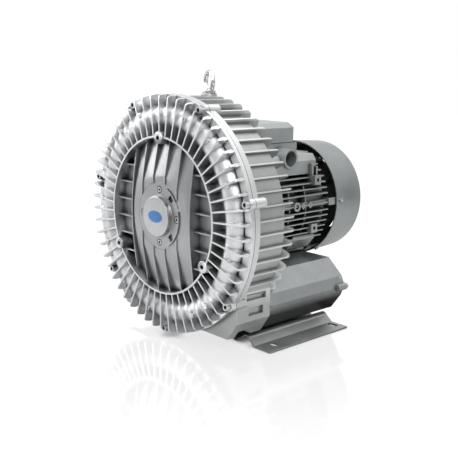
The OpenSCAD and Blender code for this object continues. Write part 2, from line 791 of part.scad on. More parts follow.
// Coil heads at both ends, joined through the slots
module stator_winding() {
    head = 20;
    r_in = rotor_r + air_gap + 3;
    r_out = rotor_r + air_gap + 26;
    color(copper) machine() {
        tube(r_out, r_in, stator_y - head, stator_y - seat_clear);
        tube(r_out, r_in, stator_y + stator_len + seat_clear, stator_y + stator_len + head);
        for (i = [0:slot_n - 1])
            at_angle(i * 360 / slot_n) block([r_in, stator_y - 1, -2 + seat_clear],
                [r_in + 12, stator_y + stator_len + 1, 2 - seat_clear]);
    }
}

// Frame of the motor: barrel, level fins at the sides, upright fins below, ribs for the tie bolts
box_foot = 66;
pad_size = 18;
pad_places = [[frame_rear - 36, 54], [frame_rear - 42, -42]];
pad_hole = 3.4;
module motor_fins() {
    y0 = frame_y + 8;
    intersection() {
        rod(motor_fin_r, y0, frame_rear - 2);
        union() {
            for (i = [-6:5])
                if (i < 0 || i > 1)
                    translate([-motor_fin_r, y0, motor_fin_first + i * motor_fin_pitch - motor_fin_t / 2])
                        cube([2 * motor_fin_r, frame_len, motor_fin_t]);
            for (i = [-5:5])
                translate([i * motor_fin_pitch - motor_fin_t / 2, y0, -motor_fin_r])
                    cube([motor_fin_t, frame_len, motor_fin_r - 60]);
        }
    }
}

boss_row = [74, 130, 151];
big_boss_y = 112;
module motor_frame() {
    rib_w = 10;
    web_t = 3;
    web_low = motor_fin_first - 5 * motor_fin_pitch;
    web_high = motor_fin_first + 4 * motor_fin_pitch;
    color(alu_paint) machine() difference() {
        union() {
            section(frame_y + 5, frame_rear) {
                circle(r = frame_r);
                for (a = tie_angles)
                    rotate(a) translate([frame_r - 5, -rib_w / 2]) square([tie_r + 11 - frame_r, rib_w]);
            }
            rod(tie_r + 7, frame_y, frame_y + 10);
            motor_fins();
            both_sides() {
                at_angle(tie_angle) translate([tie_r, frame_y, 0]) rotate([0, 90, 0]) {
                    for (y = boss_row)
                        translate([0, y, 0]) cylinder(r = 6, h = motor_fin_r - tie_r, $fn = 4);
                    translate([0, big_boss_y, 0]) cylinder(r = 8, h = motor_fin_r - tie_r + 1, $fn = small_fn);
                }
                for (p = pad_places)
                    block([80, p[0] - pad_size / 2, p[1] - pad_size / 2],
                        [motor_fin_r - 1, p[0] + pad_size / 2, p[1] + pad_size / 2]);
                for (y = [frame_y + 96, frame_y + 142])
                    intersection() {
                        tube(motor_fin_r - 6, frame_r - 3, y, y + web_t);
                        block([0, y - 1, web_low], [motor_fin_r, y + web_t + 1, web_high]);
                    }
                at_angle(-39) block([80, frame_y + 120, -20], [motor_fin_r + 3, frame_y + 192, 20]);
            }
        }
        rod(stator_r + run_clear, frame_y - 1, frame_rear + 1);
        both_sides() {
            section(frame_y - 1, frame_rear + 4) polygon(sil_points(sil_gap));
            for (p = pad_places)
                translate([motor_fin_r, p[0], p[1]]) rotate([0, -90, 0])
                    cylinder(r = pad_hole, h = 15, $fn = small_fn);
            at_angle(tie_angle) translate([motor_fin_r + 2, frame_y + big_boss_y, 0]) rotate([0, -90, 0])
                cylinder(r = 4, h = 9, $fn = small_fn);
        }
        for (a = tie_angles)
            rod_at(a, tie_r, m6[0] + hole_clear, frame_y - 1, frame_rear + 1, $fn = small_fn);
        translate([0, box_y + lid_len / 2, stator_r - 5]) cylinder(r = 14, h = 30, $fn = small_fn);
    }
}

module tie_bolts() {
    head_y = frame_rear + shield_t;
    color(zinc) machine() for (a = tie_angles)
        at_angle(a) translate([tie_r, head_y, 0]) reversed() hex_bolt(m6, head_y - frame_y + 9);
}

// Inner radius of the cowl at a station
function cowl_in(y) = cowl_front_r - cowl_t
    - (cowl_front_r - cowl_rear_r) * (y - cowl_y) / (cowl_len - cowl_round);
lug_end = cowl_y + 22;
cowl_screw_y = cowl_y + 13;

// Rear shield of the motor, with the bearing seat and the lugs that carry the cowl
module rear_shield() {
    lug_w = 14;
    hub_end = rear_brg_y + brg_w + 5.5;
    color(alu_paint) machine() difference() {
        union() {
            rod(frame_r, frame_rear, frame_rear + shield_t);
            rod(stator_r - seat_clear, frame_rear - 8, frame_rear + 1);
            rod(brg_od_r + 7, frame_rear - 12, hub_end);
            for (a = [0:30:330])
                radial_plate(a, 3) polygon([[brg_od_r + 5, frame_rear + 1], [brg_od_r + 5, hub_end],
                    [frame_r - 6, frame_rear + shield_t + 1], [frame_r - 6, frame_rear + 1]]);
            for (a = tie_angles)
                at_angle(a) {
                    block([frame_r - 8, frame_rear, -lug_w / 2],
                        [cowl_in(lug_end) - seat_clear - 0.5, frame_rear + shield_t, lug_w / 2]);
                    block([cowl_in(lug_end) - 4.5, frame_rear, -lug_w / 2],
                        [cowl_in(lug_end) - seat_clear - 0.5, lug_end, lug_w / 2]);
                }
        }
        tube(stator_r - 6, brg_od_r + 7, frame_rear - 13, frame_rear);
        rod(brg_od_r + run_clear, frame_rear - 13, rear_brg_y + brg_w + 2);
        rod(brg_bore_r + 1, frame_rear, hub_end + 1);
        for (a = tie_angles) {
            rod_at(a, tie_r, m6[0] + hole_clear, frame_rear - 1, frame_rear + shield_t + 1, $fn = small_fn);
            at_angle(a) translate([frame_r + 10, cowl_screw_y, 0]) rotate([0, 90, 0])
                cylinder(r = m5[0] + hole_clear, h = 40, $fn = small_fn);
        }
    }
}

module preload_spring() {
    color(steel) machine() tube(brg_od_r - 1, brg_od_r - 6, rear_brg_y + brg_w + seat_clear,
        rear_brg_y + brg_w + 2 - seat_clear);
}

module cooling_fan() {
    hub_r = fan_shaft_r + 11;
    color([0.12, 0.12, 0.13]) machine() difference() {
        union() {
            rod(hub_r, fan_y, fan_y + fan_hub_len);
            rod(fan_r * 0.62, fan_y, fan_y + 3);
            for (i = [0:fan_blade_n - 1])
                radial_plate(i * 360 / fan_blade_n, 3)
                    polygon([[hub_r - 2, fan_y + 1], [fan_r * 0.6, fan_y + 1], [fan_r, fan_y + 8],
                        [fan_r, fan_y + 34], [hub_r + 14, fan_y + 34], [hub_r - 2, fan_y + fan_hub_len - 2]]);
        }
        rod(fan_shaft_r, fan_y - 1, fan_y + fan_hub_len + 20);
    }
}

module fan_clip() {
    clip_y = shaft_rear - 4.6;
    color(steel) machine() difference() {
        tube(fan_shaft_r + 3, fan_shaft_r - 0.9, clip_y, clip_y + 1.3);
        block([0, clip_y - 1, -4], [fan_shaft_r + 5, clip_y + 3, 4]);
    }
}

// Cowl: tapered sheet drum with a round rear edge and a slotted grille
grille_in = 24;
grille_step = 15;
module fan_cowl() {
    end_y = cowl_y + cowl_len;
    bridge = 6;
    outer = concat([[cowl_front_r, cowl_y]],
        arc([cowl_rear_r - cowl_round, end_y - cowl_round], cowl_round, cowl_round, 0, 90, 6));
    inner_round = cowl_round - cowl_t;
    inner = concat([[0, end_y], [0, end_y - cowl_t]],
        arc([cowl_rear_r - cowl_round, end_y - cowl_round], inner_round, inner_round, 90, 0, 6),
        [[cowl_front_r - cowl_t, cowl_y]]);
    color(alu_paint) machine() difference() {
        about_shaft() polygon(concat(outer, inner));
        for (r = [grille_in:grille_step:cowl_rear_r - cowl_round - 10])
            for (i = [0:grille_n - 1]) {
                half = asin(bridge / 2 / r);
                rotate([-90, 0, 0]) rotate([0, 0, i * 360 / grille_n + half])
                    rotate_extrude(angle = 360 / grille_n - 2 * half)
                        translate([r, end_y - cowl_t - 1]) square([grille_step - 6, cowl_t + 2]);
            }
        for (a = tie_angles)
            at_angle(a) translate([frame_r, cowl_screw_y, 0]) rotate([0, 90, 0])
                cylinder(r = m5[0] + hole_clear, h = 40, $fn = small_fn);
    }
}

module cowl_screws() {
    seat_r = cowl_in(cowl_screw_y - m5[1]) + cowl_t + seat_clear;
    color(zinc) machine() for (a = tie_angles)
        at_angle(a) translate([seat_r, cowl_screw_y, 0]) rotate([0, 0, 90]) socket_screw([m5[0], m5[1], 3], 9);
}

// Terminal box: foot that saddles the frame, rim, cable entry boss
box_in = 62;
entry_y = box_y + 83;
entry_z = 99;
lid_y = box_y + lid_len / 2 - 1;
screw_in = 11;
lid_screw_places = [for (x = [-1, 1], y = [-1, 1]) [x * (lid_w / 2 - screw_in), y * (lid_len / 2 - screw_in)]];
module round_rect(w, l, r) {
    hull() for (x = [-1, 1], y = [-1, 1])
        translate([x * (w / 2 - r), y * (l / 2 - r)]) circle(r = r, $fn = small_fn);
}
module terminal_box() {
    foot_half = 100;
    foot_top = box_top - 22;
    color(alu_paint) machine() difference() {
        union() {
            section(box_y, frame_rear - 26) polygon([[-foot_half, box_foot], [foot_half, box_foot],
                [foot_half, foot_top - 12], [foot_half - 9, foot_top], [-foot_half + 9, foot_top],
                [-foot_half, foot_top - 12]]);
            block([-lid_w / 2 + 2, box_y + 1, foot_top - 20], [lid_w / 2 - 2, box_y + lid_len - 3, box_top]);
            translate([0, entry_y, entry_z]) rotate([0, 90, 0]) cylinder(r = entry_boss_r, h = foot_half + 6, $fn = 48);
        }
        rod(frame_r + seat_clear, box_y - 10, frame_rear + 10);
        block([-box_in, box_y + 12, box_foot], [box_in, box_y + lid_len - 14, box_top + 1]);
        translate([0, entry_y, entry_z]) rotate([0, 90, 0]) cylinder(r = entry_r, h = foot_half + 7, $fn = 48);
        for (p = lid_screw_places)
            translate([p[0], lid_y + p[1], box_top - 14]) cylinder(r = m5[0] + hole_clear, h = 15, $fn = small_fn);
    }
}

module box_gasket() {
    color(rubber) machine() translate([0, lid_y, box_top]) difference() {
        translate([-lid_w / 2 + 4, -lid_len / 2 + 4, 0]) cube([lid_w - 8, lid_len - 8, 1.5]);
        translate([-box_in, -lid_len / 2 + 13, -1]) cube([2 * box_in, lid_len - 26, 4]);
        for (p = lid_screw_places)
            translate([p[0], p[1], -1]) cylinder(r = m5[0] + 2 * hole_clear, h = 5, $fn = small_fn);
    }
}

module box_lid() {
    lid_wall = 3;
    color(alu_paint) machine() translate([0, lid_y, box_top + 1.5]) difference() {
        union() {
            linear_extrude(lid_h - lid_chamfer) round_rect(lid_w, lid_len, lid_corner);
            hull() {
                translate([0, 0, lid_h - lid_chamfer]) linear_extrude(0.1) round_rect(lid_w, lid_len, lid_corner);
                translate([0, 0, lid_h - 0.1]) linear_extrude(0.1)
                    round_rect(lid_w - 2 * lid_chamfer, lid_len - 2 * lid_chamfer, lid_corner - lid_chamfer / 2);
            }
        }
        translate([-box_in, -lid_len / 2 + 22, -1]) cube([2 * box_in, lid_len - 44, lid_h - lid_wall + 1]);
        for (p = lid_screw_places)
            translate([p[0], p[1], -1]) {
                cylinder(r = m5[0] + hole_clear, h = lid_h + 2, $fn = small_fn);
                translate([0, 0, lid_h - 12]) cylinder(r = m5[1] + 1, h = lid_h, $fn = small_fn);
            }
    }
}

module lid_screws() {
    seat_z = box_top + 1.5 + lid_h - 13 + seat_clear;
    color(zinc) machine() for (p = lid_screw_places)
        translate([p[0], lid_y + p[1], seat_z]) rotate([-90, 0, 0]) socket_screw(m5, lid_h - 3);
}

stud_places = [for (x = [-20, 0, 20], y = [-11, 11]) [x, y]];
block_base = frame_r + seat_clear;
block_h = 14;
module terminal_block() {
    color([0.16, 0.15, 0.14]) machine() translate([0, box_y + 45, block_base]) difference() {
        translate([-32, -22, 0]) cube([64, 44, block_h]);
        for (p = stud_places)
            translate([p[0], p[1], 3]) cylinder(r = m5[0] + seat_clear, h = block_h, $fn = small_fn);
    }
}

module terminal_studs() {
    color([0.78, 0.66, 0.36]) machine() translate([0, box_y + 45, block_base])
        for (p = stud_places)
            translate([p[0], p[1], 3 + seat_clear]) {
                cylinder(r = m5[0], h = block_h + 9, $fn = small_fn);
                translate([0, 0, block_h - 3]) cylinder(r = 4.6, h = 4, $fn = 6);
            }
}

// Silencer body of the right side; the left one is its mirror image
ear_r = 7;
ear_y = 16;
sil_front = block_rear + gasket_t;
cover_screw_places = [[sil_out + 1, sil_mid], [sil_in + 16, -sil_top - 12], [sil_in + 16, -block_drop + 12]];
module silencer_body() {
    color(alu_paint) machine() difference() {
        union() {
            difference() {
                section(sil_front, sil_rear) polygon(sil_points(0));
                section(sil_front + 2 * sil_wall, sil_rear + 1) polygon(sil_points(-sil_wall));
            }
            for (p = cover_screw_places)
                translate([p[0], 0, p[1]]) rod(ear_r, sil_rear - ear_y, sil_rear, $fn = small_fn);
            translate([base_bolt_x, sil_bolt_y, -block_drop + 1]) cylinder(r = 9, h = 17, $fn = small_fn);
        }
        translate([port_x, 0, port_z]) rod(port_r, sil_front - 1, sil_front + 3 * sil_wall, $fn = small_fn);
        for (p = sil_bolt_places)
            translate([p[0], 0, p[1]]) rod(m8[0] + hole_clear, sil_front - 1, sil_front + 3 * sil_wall, $fn = small_fn);
        for (p = cover_screw_places)
            translate([p[0], 0, p[1]]) rod(m6[0] + hole_clear, sil_rear - 12, sil_rear + 1, $fn = small_fn);
        translate([base_bolt_x, sil_bolt_y, -block_drop - 1])
            cylinder(r = m8[0] + hole_clear, h = 16, $fn = small_fn);
    }
}
module outlet_silencer() { silencer_body(); }
module inlet_silencer() { mirror([1, 0, 0]) silencer_body(); }

module silencer_gasket() {
    color(rubber) machine() difference() {
        section(block_rear, sil_front) intersection() {
            polygon(sil_points(-2));
            translate([0, -block_drop + 2]) square([block_w / 2 - 2, block_drop - sil_top - 4]);
        }
        translate([port_x, 0, port_z]) rod(port_r + 1, block_rear - 1, sil_front + 1, $fn = small_fn);
        for (p = sil_bolt_places)
            translate([p[0], 0, p[1]]) rod(m8[0] + 2 * hole_clear, block_rear - 1, sil_front + 1, $fn = small_fn);
    }
}
module outlet_gasket() { silencer_gasket(); }
module inlet_gasket() { mirror([1, 0, 0]) silencer_gasket(); }

// End cover of a silencer: flanged plate, sloped rim, threaded air port
module silencer_cover() {
    plate_t = 9;
    inset = 12;
    color(alu_paint) machine() difference() {
        union() {
            section(sil_rear, sil_rear + plate_t) polygon(sil_points(0));
            hull() {
                section(sil_rear + plate_t - 0.1, sil_rear + plate_t) polygon(sil_points(-1));
                section(sil_rear + sil_cover_len - 0.1, sil_rear + sil_cover_len) polygon(sil_points(-inset));
            }
            translate([cover_screw_places[0][0], 0, cover_screw_places[0][1]])
                rod(ear_r, sil_rear, sil_rear + plate_t, $fn = small_fn);
        }
        translate([port_x, 0, sil_mid]) rod(air_port_r, sil_rear - 1, sil_rear + sil_cover_len + 1);
        for (p = cover_screw_places)
            translate([p[0], 0, p[1]]) {
                rod(m6[0] + hole_clear, sil_rear - 1, sil_rear + sil_cover_len + 1, $fn = small_fn);
                rod(m6[1] + 1.5, sil_rear + plate_t, sil_rear + sil_cover_len + 1, $fn = small_fn);
            }
    }
}
module outlet_cover() { silencer_cover(); }
module inlet_cover() { mirror([1, 0, 0]) silencer_cover(); }

// Sound-absorbing sleeve inside a silencer
module silencer_liner() {
    liner_r = (block_drop - sil_top) / 2 - sil_wall - seat_clear;
    color([0.23, 0.23, 0.24]) machine() translate([port_x, 0, sil_mid])
        tube(liner_r, air_port_r + 1, sil_front + 2 * sil_wall + seat_clear, sil_rear - seat_clear);
}
module outlet_liner() { silencer_liner(); }
module inlet_liner() { mirror([1, 0, 0]) silencer_liner(); }

module silencer_bolts() {
    head_y = sil_front + 2 * sil_wall + seat_clear;
    color(zinc) machine() both_sides() for (p = sil_bolt_places)
        translate([p[0], head_y, p[1]]) reversed() socket_screw(m8, head_y - block_rear + 14);
}

module silencer_screws() {
    color(zinc) machine() both_sides() for (p = cover_screw_places)
        translate([p[0], sil_rear + 9 + seat_clear, p[1]]) reversed() socket_screw(m6, 18);
}

// Base: one pressed sheet, from floor flange over ridge and valley to the raised centre plate
module base_plate() {
    ridge_round = 8;
    under = ridge_h - base_t - ridge_round;
    flange_in = base_w / 2 - foot_w;
    far = base_w;
    half = concat([[far, 0], [flange_in, 0]], arc([ridge_x, under], ridge_round, ridge_round, 25, 155, 5),
        [[valley_x, 0], [plate_half, plate_top - base_t]]);
    other = [for (i = [len(half) - 1:-1:0]) [-half[i][0], half[i][1]]];
    color(dark_steel) difference() {
        translate([0, base_rear, 0]) rotate([90, 0, 0]) linear_extrude(base_front + base_rear) intersection() {
            difference() {
                offset(delta = base_t) polygon(concat(half, other, [[-far, -far], [far, -far]]));
                polygon(concat(half, other, [[-far, -far], [far, -far]]));
            }
            translate([-base_w / 2, 0]) square([base_w, plate_top]);
        }
        for (x = [-1, 1], y = [-1, 1])
            translate([x * slot_span_x / 2, y * slot_span_y / 2, -1]) {
                for (e = [-1, 1])
                    translate([e * (slot_len - slot_w) / 2, 0, 0]) cylinder(r = slot_w / 2, h = base_t + 2, $fn = small_fn);
                translate([-(slot_len - slot_w) / 2, -slot_w / 2, 0]) cube([slot_len - slot_w, slot_w, base_t + 2]);
            }
        for (x = [-1, 1], y = [block_bolt_y, sil_bolt_y])
            translate([x * base_bolt_x, y - case_ahead, 0])
                cylinder(r = m8[0] + 2 * hole_clear, h = plate_top + 1, $fn = small_fn);
    }
}

module base_bolts() {
    color(zinc) both_sides() for (y = [block_bolt_y, sil_bolt_y])
        translate([base_bolt_x, y - case_ahead, plate_top - base_t - seat_clear])
            rotate([90, 0, 0]) hex_bolt(m8, base_bolt_len);
}

front_cover();
cover_gasket();
bearing_cap();
cap_screws();
cap_badge();
cover_bolts();
rear_casing();
shaft_seal();
eye_bolt();
front_bearing_outer();
front_bearing_balls();
front_bearing_inner();
impeller();
impeller_key();
spacer_sleeve();
shaft_washer();
shaft_screw();
shaft();
rotor_core();
stator_core();
stator_winding();
motor_frame();
tie_bolts();
rear_shield();
rear_bearing_outer();
rear_bearing_balls();
rear_bearing_inner();
preload_spring();
cooling_fan();
fan_clip();
fan_cowl();
cowl_screws();
terminal_box();
box_gasket();
box_lid();
lid_screws();
terminal_block();
terminal_studs();
inlet_silencer();
outlet_silencer();
inlet_gasket();
outlet_gasket();
inlet_cover();
outlet_cover();
inlet_liner();
outlet_liner();
silencer_bolts();
silencer_screws();
base_plate();
base_bolts();
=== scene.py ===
"""Looks of a side-channel air blower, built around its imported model.

Lengths are in metres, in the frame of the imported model: +Z up, +Y along the shaft from the ribbed
cover to the fan cowl, +X to the side of the cable entry, origin on the floor between the foot slots.
Sizes of the pieces are in millimetres: stations are counted backwards along the shaft from the rear face
of the casing flange, and heights upwards from the shaft.
"""

import json
import logging
import math
from dataclasses import dataclass, field
from enum import Enum

import bpy
from mathutils import Matrix, Vector


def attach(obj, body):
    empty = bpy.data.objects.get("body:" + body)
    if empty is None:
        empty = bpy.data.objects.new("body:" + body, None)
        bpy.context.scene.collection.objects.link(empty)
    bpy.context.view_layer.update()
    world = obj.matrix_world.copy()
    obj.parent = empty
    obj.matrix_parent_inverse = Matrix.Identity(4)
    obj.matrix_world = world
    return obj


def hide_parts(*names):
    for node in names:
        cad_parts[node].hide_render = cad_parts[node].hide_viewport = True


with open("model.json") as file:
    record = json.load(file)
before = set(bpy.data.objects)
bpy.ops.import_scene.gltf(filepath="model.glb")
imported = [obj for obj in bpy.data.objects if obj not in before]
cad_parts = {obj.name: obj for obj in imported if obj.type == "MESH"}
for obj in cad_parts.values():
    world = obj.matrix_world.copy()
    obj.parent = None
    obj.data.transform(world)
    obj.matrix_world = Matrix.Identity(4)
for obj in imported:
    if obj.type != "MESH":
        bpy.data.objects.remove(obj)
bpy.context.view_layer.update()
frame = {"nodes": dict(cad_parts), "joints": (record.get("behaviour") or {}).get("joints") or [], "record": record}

log = logging.getLogger("blower")
MM = 0.001
MERGE = 1e-6
AXIS_Z = frame["joints"][0]["pos_m"][2]
FLANGE_REAR_Y = -0.177
ROOT, ROTOR = "root", "rotor"
Colour = Point = tuple[float, float, float]
Pair = tuple[float, float]
Node, Socket, Piece = bpy.types.Node, bpy.types.NodeSocket, bpy.types.Object


class Slot(Enum):
    """Material slots of the record."""

    COVER = "cover_alloy"
    CASING = "casing_paint"
    MOTOR = "motor_paint"
    SILENCER = "silencer_paint"
    COWL = "cowl_paint"
    BASE = "base_paint"
    ZINC = "zinc_plate"
    EYE = "eye_plate"
    BADGE = "badge_blue"
    RUBBER = "black_rubber"
    BEARING = "bearing_steel"
    IMPELLER = "impeller_alloy"
    SHAFT = "shaft_steel"
    CORE = "core_steel"
    COPPER = "winding_copper"
    FAN = "fan_plastic"
    TERMINAL = "terminal_plastic"
    BRASS = "stud_brass"
    FOAM = "liner_foam"


class Effect(Enum):
    """Shader node groups that several finishes share."""

    GRAIN = "surface_grain"
    EDGE = "rubbed_and_highlit_edge"
    # group that paints shade into gaps, from ambient occlusion
    DEPTH = "painted_recess_shade"


def clear_selection() -> None:
    """Leave edit mode and deselect every object."""
    if bpy.context.object and bpy.context.object.mode != "OBJECT":
        bpy.ops.object.mode_set(mode="OBJECT")
    bpy.ops.object.select_all(action="DESELECT")


@dataclass
class Shader:
    """Builder for the nodes of one node tree.

    Attributes:
        tree: The node tree of a material or a group.
    """

    tree: bpy.types.NodeTree

    def node(self, kind: str, **inputs: object) -> Node:
        """Add a node and fill its sockets.

        Args:
            kind: Blender's name of the node type.
            inputs: Socket name, with underscores for spaces, to a value or to another socket.

        Returns:
            The new node.
        """
        new = self.tree.nodes.new(kind)
        for key, value in inputs.items():
            self.feed(new, key.replace("_", " "), value)
        return new

    def feed(self, node: Node, name: str | int, value: object) -> None:
        """Link a socket, or set its value.

        Args:
            node: The node that holds the socket.
            name: The socket's name or number.
            value: Another node's output, a number, a vector or a colour.
        """
        socket = node.inputs[name]
        if isinstance(value, Socket):
            self.tree.links.new(value, socket)
        elif isinstance(value, tuple) and len(value) == 3 and socket.type == "RGBA":
            socket.default_value = (*value, 1.0)
        else:
            socket.default_value = value

    def operate(self, kind: str, operation: str, *values: object) -> Node:
        """Add a node that computes.

        Args:
            kind: Blender's name of the node type.
            operation: Name of the operation.
            values: Values or sockets for its first inputs.

        Returns:
            The new node.
        """
        new = self.node(kind)
        new.operation = operation
        for index, value in enumerate(values):
            self.feed(new, index, value)
        return new

    def math(self, operation: str, a: object, b: object = 0.0, clamp: bool = False) -> Socket:
        """Combine two values.

        Args:
            operation: Name of the arithmetic operation.
            a: First value or socket.
            b: Second value or socket.
            clamp: True to keep the result between 0 and 1.

        Returns:
            The result's socket.
        """
        new = self.operate("ShaderNodeMath", operation, a, b)
        new.use_clamp = clamp
        return new.outputs[0]

    def blend(self, factor: object, a: object, b: object, mode: str = "MIX") -> Socket:
        """Mix two colours.

        Args:
            factor: Share of the second colour.
            a: First colour or socket.
            b: Second colour or socket.
            mode: Blend mode.

        Returns:
            The mixed colour's socket.
        """
        new = self.node("ShaderNodeMix")
        new.data_type = "RGBA"
        new.blend_type = mode
        for identifier, value in (("Factor_Float", factor), ("A_Color", a), ("B_Color", b)):
            index = next(i for i, s in enumerate(new.inputs) if s.identifier == identifier)
            self.feed(new, index, value)
        return next(s for s in new.outputs if s.identifier == "Result_Color")

    def span(self, value: object, low: float, high: float, out_low: float, out_high: float) -> Socket:
        """Map a range of values to another, clamped.

        Args:
            value: The value or socket to map.
            low: Value that becomes out_low.
            high: Value that becomes out_high.
            out_low: First end of the result.
            out_high: Second end of the result.

        Returns:
            The result's socket.
        """
        new = self.node("ShaderNodeMapRange")
        for index, number in enumerate((value, low, high, out_low, out_high)):
            self.feed(new, index, number)
        return new.outputs[0]

    def toned(self, colour: object, grey: Socket) -> Socket:
        """Colour multiplied by a grey value."""
        return self.blend(1.0, colour, self.grey(grey), "MULTIPLY")

    def grey(self, value: Socket) -> Socket:
        """Grey colour of a value."""
        return self.node("ShaderNodeCombineColor", Red=value, Green=value, Blue=value).outputs[0]

    def place(self) -> Socket:
        """Coordinates of the shaded point in the object's frame."""
        return self.node("ShaderNodeTexCoord").outputs["Object"]

    def axes(self) -> tuple[Socket, Socket, Socket]:
        """X, Y and Z of the shaded point."""
        return tuple(self.node("ShaderNodeSeparateXYZ", Vector=self.place()).outputs)

    def about_shaft(self) -> tuple[Socket, Socket]:
        """Height of the shaded point above the shaft, and its distance from the shaft."""
        x, _, z = self.axes()
        level = self.math("SUBTRACT", z, AXIS_Z)
        square = self.math("ADD", self.math("MULTIPLY", level, level), self.math("MULTIPLY", x, x))
        return level, self.math("SQRT", square)

    def effect(self, effect: Effect, **settings: float) -> Node:
        """Add a shared node group.

        Args:
            effect: The group.
            settings: Input name, with underscores for spaces, to its value.

        Returns:
            The new node.
        """
        new = self.node("ShaderNodeGroup")
        new.node_tree = bpy.data.node_groups[effect.value]
        for key, value in settings.items():
            self.feed(new, key.replace("_", " "), value)
        return new

    def relief(self, shader: Node, grain: Node, depth: float) -> None:
        """Give a main shader the relief of a grain node."""
        bump = self.node("ShaderNodeBump", Height=grain.outputs["Height"], Strength=1.0, Distance=depth)
        self.feed(shader, "Normal", bump.outputs["Normal"])


def new_material(name: str) -> tuple[bpy.types.Material, Shader, Node]:
    """Make a material.

    Args:
        name: Name of the material.

    Returns:
        The material, a builder for its nodes and its main shader.
    """
    material = bpy.data.materials.new(name)
    material.use_nodes = True
    return material, Shader(material.node_tree), material.node_tree.nodes["Principled BSDF"]


def new_group(effect: Effect, inputs: dict[str, float], *outputs: str) -> tuple[Shader, Node, Node]:
    """Make an empty shader group with number sockets.

    Args:
        effect: The effect that the group makes.
        inputs: Input names with their defaults.
        outputs: Output names.

    Returns:
        A builder for its nodes, its input node and its output node.
    """
    group = bpy.data.node_groups.new(effect.value, "ShaderNodeTree")
    for key, default in inputs.items():
        socket = group.interface.new_socket(key, in_out="INPUT", socket_type="NodeSocketFloat")
        socket.default_value = default
    for key in outputs:
        group.interface.new_socket(key, in_out="OUTPUT", socket_type="NodeSocketFloat")
    return Shader(group), group.nodes.new("NodeGroupInput"), group.nodes.new("NodeGroupOutput")


def build_grain() -> None:
    """Make the group of fine grain over slow cloud, as on blasted or sprayed metal."""
    sizes = {"Grain size": 0.0012, "Cloud size": 0.06}
    sh, into, out = new_group(Effect.GRAIN, sizes, "Height", "Speckle", "Cloud")
    place = sh.place()
    fine, slow = (sh.math("DIVIDE", 1.0, into.outputs[name]) for name in sizes)
    grain = sh.node("ShaderNodeTexNoise", Vector=place, Scale=fine, Detail=3.0, Roughness=0.6)
    speckle = sh.node("ShaderNodeTexVoronoi", Vector=place, Scale=sh.math("MULTIPLY", fine, 1.7))
    cloud = sh.node("ShaderNodeTexNoise", Vector=place, Scale=slow, Detail=4.0, Roughness=0.55)
    sh.feed(out, "Height", grain.outputs["Fac"])
    sh.feed(out, "Speckle", speckle.outputs["Distance"])
    sh.feed(out, "Cloud", cloud.outputs["Fac"])


def build_edge() -> None:
    """Make the group that masks convex and concave edges, broken up by noise, for rubbed edges and a painted edge
    highlight.
    """
    sh, into, out = new_group(Effect.EDGE, {"Width": 0.001, "Break-up": 0.4}, "Mask")
    bevel = sh.node("ShaderNodeBevel", Radius=into.outputs["Width"])
    bevel.samples = 4
    plain = sh.node("ShaderNodeNewGeometry").outputs["True Normal"]
    dot = sh.operate("ShaderNodeVectorMath", "DOT_PRODUCT", bevel.outputs["Normal"], plain)
    turned_away = sh.span(dot.outputs["Value"], 0.99, 0.80, 0.0, 1.0)
    noise = sh.node("ShaderNodeTexNoise", Vector=sh.place(), Scale=180.0, Detail=3.0)
    holes = sh.span(noise.outputs["Fac"], 0.35, 0.65, 0.0, 1.0)
    kept = sh.math("SUBTRACT", 1.0, sh.math("MULTIPLY", holes, into.outputs["Break-up"]))
    sh.feed(out, "Mask", sh.math("MULTIPLY", turned_away, kept))


def build_painted_shade() -> None:
    """Make the group of painted shade from ambient occlusion, 1 on an open surface and 0 deep in gaps."""
    sh, into, out = new_group(Effect.DEPTH, {"Reach": 0.014}, "Unshaded")
    around = sh.node("ShaderNodeAmbientOcclusion", Distance=into.outputs["Reach"])
    around.samples = 8
    sh.feed(out, "Unshaded", sh.span(around.outputs["AO"], 0.20, 0.80, 0.0, 1.0))


CLOUDS = (0.3, 0.7)
SPECKLES = (0.0, 0.6)


def scaled(colour: Colour, factor: float) -> Colour:
    """Colour times a factor, no channel above 1."""
    return tuple(min(1.0, channel * factor) for channel in colour)


@dataclass(frozen=True)
class Masks:
    """Values from which a metal's colour is made.

    Attributes:
        speckle: Fine speckle.
        cloud: Slow changes.
        edge: Edges, 1 where they are rubbed and carry a painted highlight.
    """

    speckle: Socket
    cloud: Socket
    edge: Socket


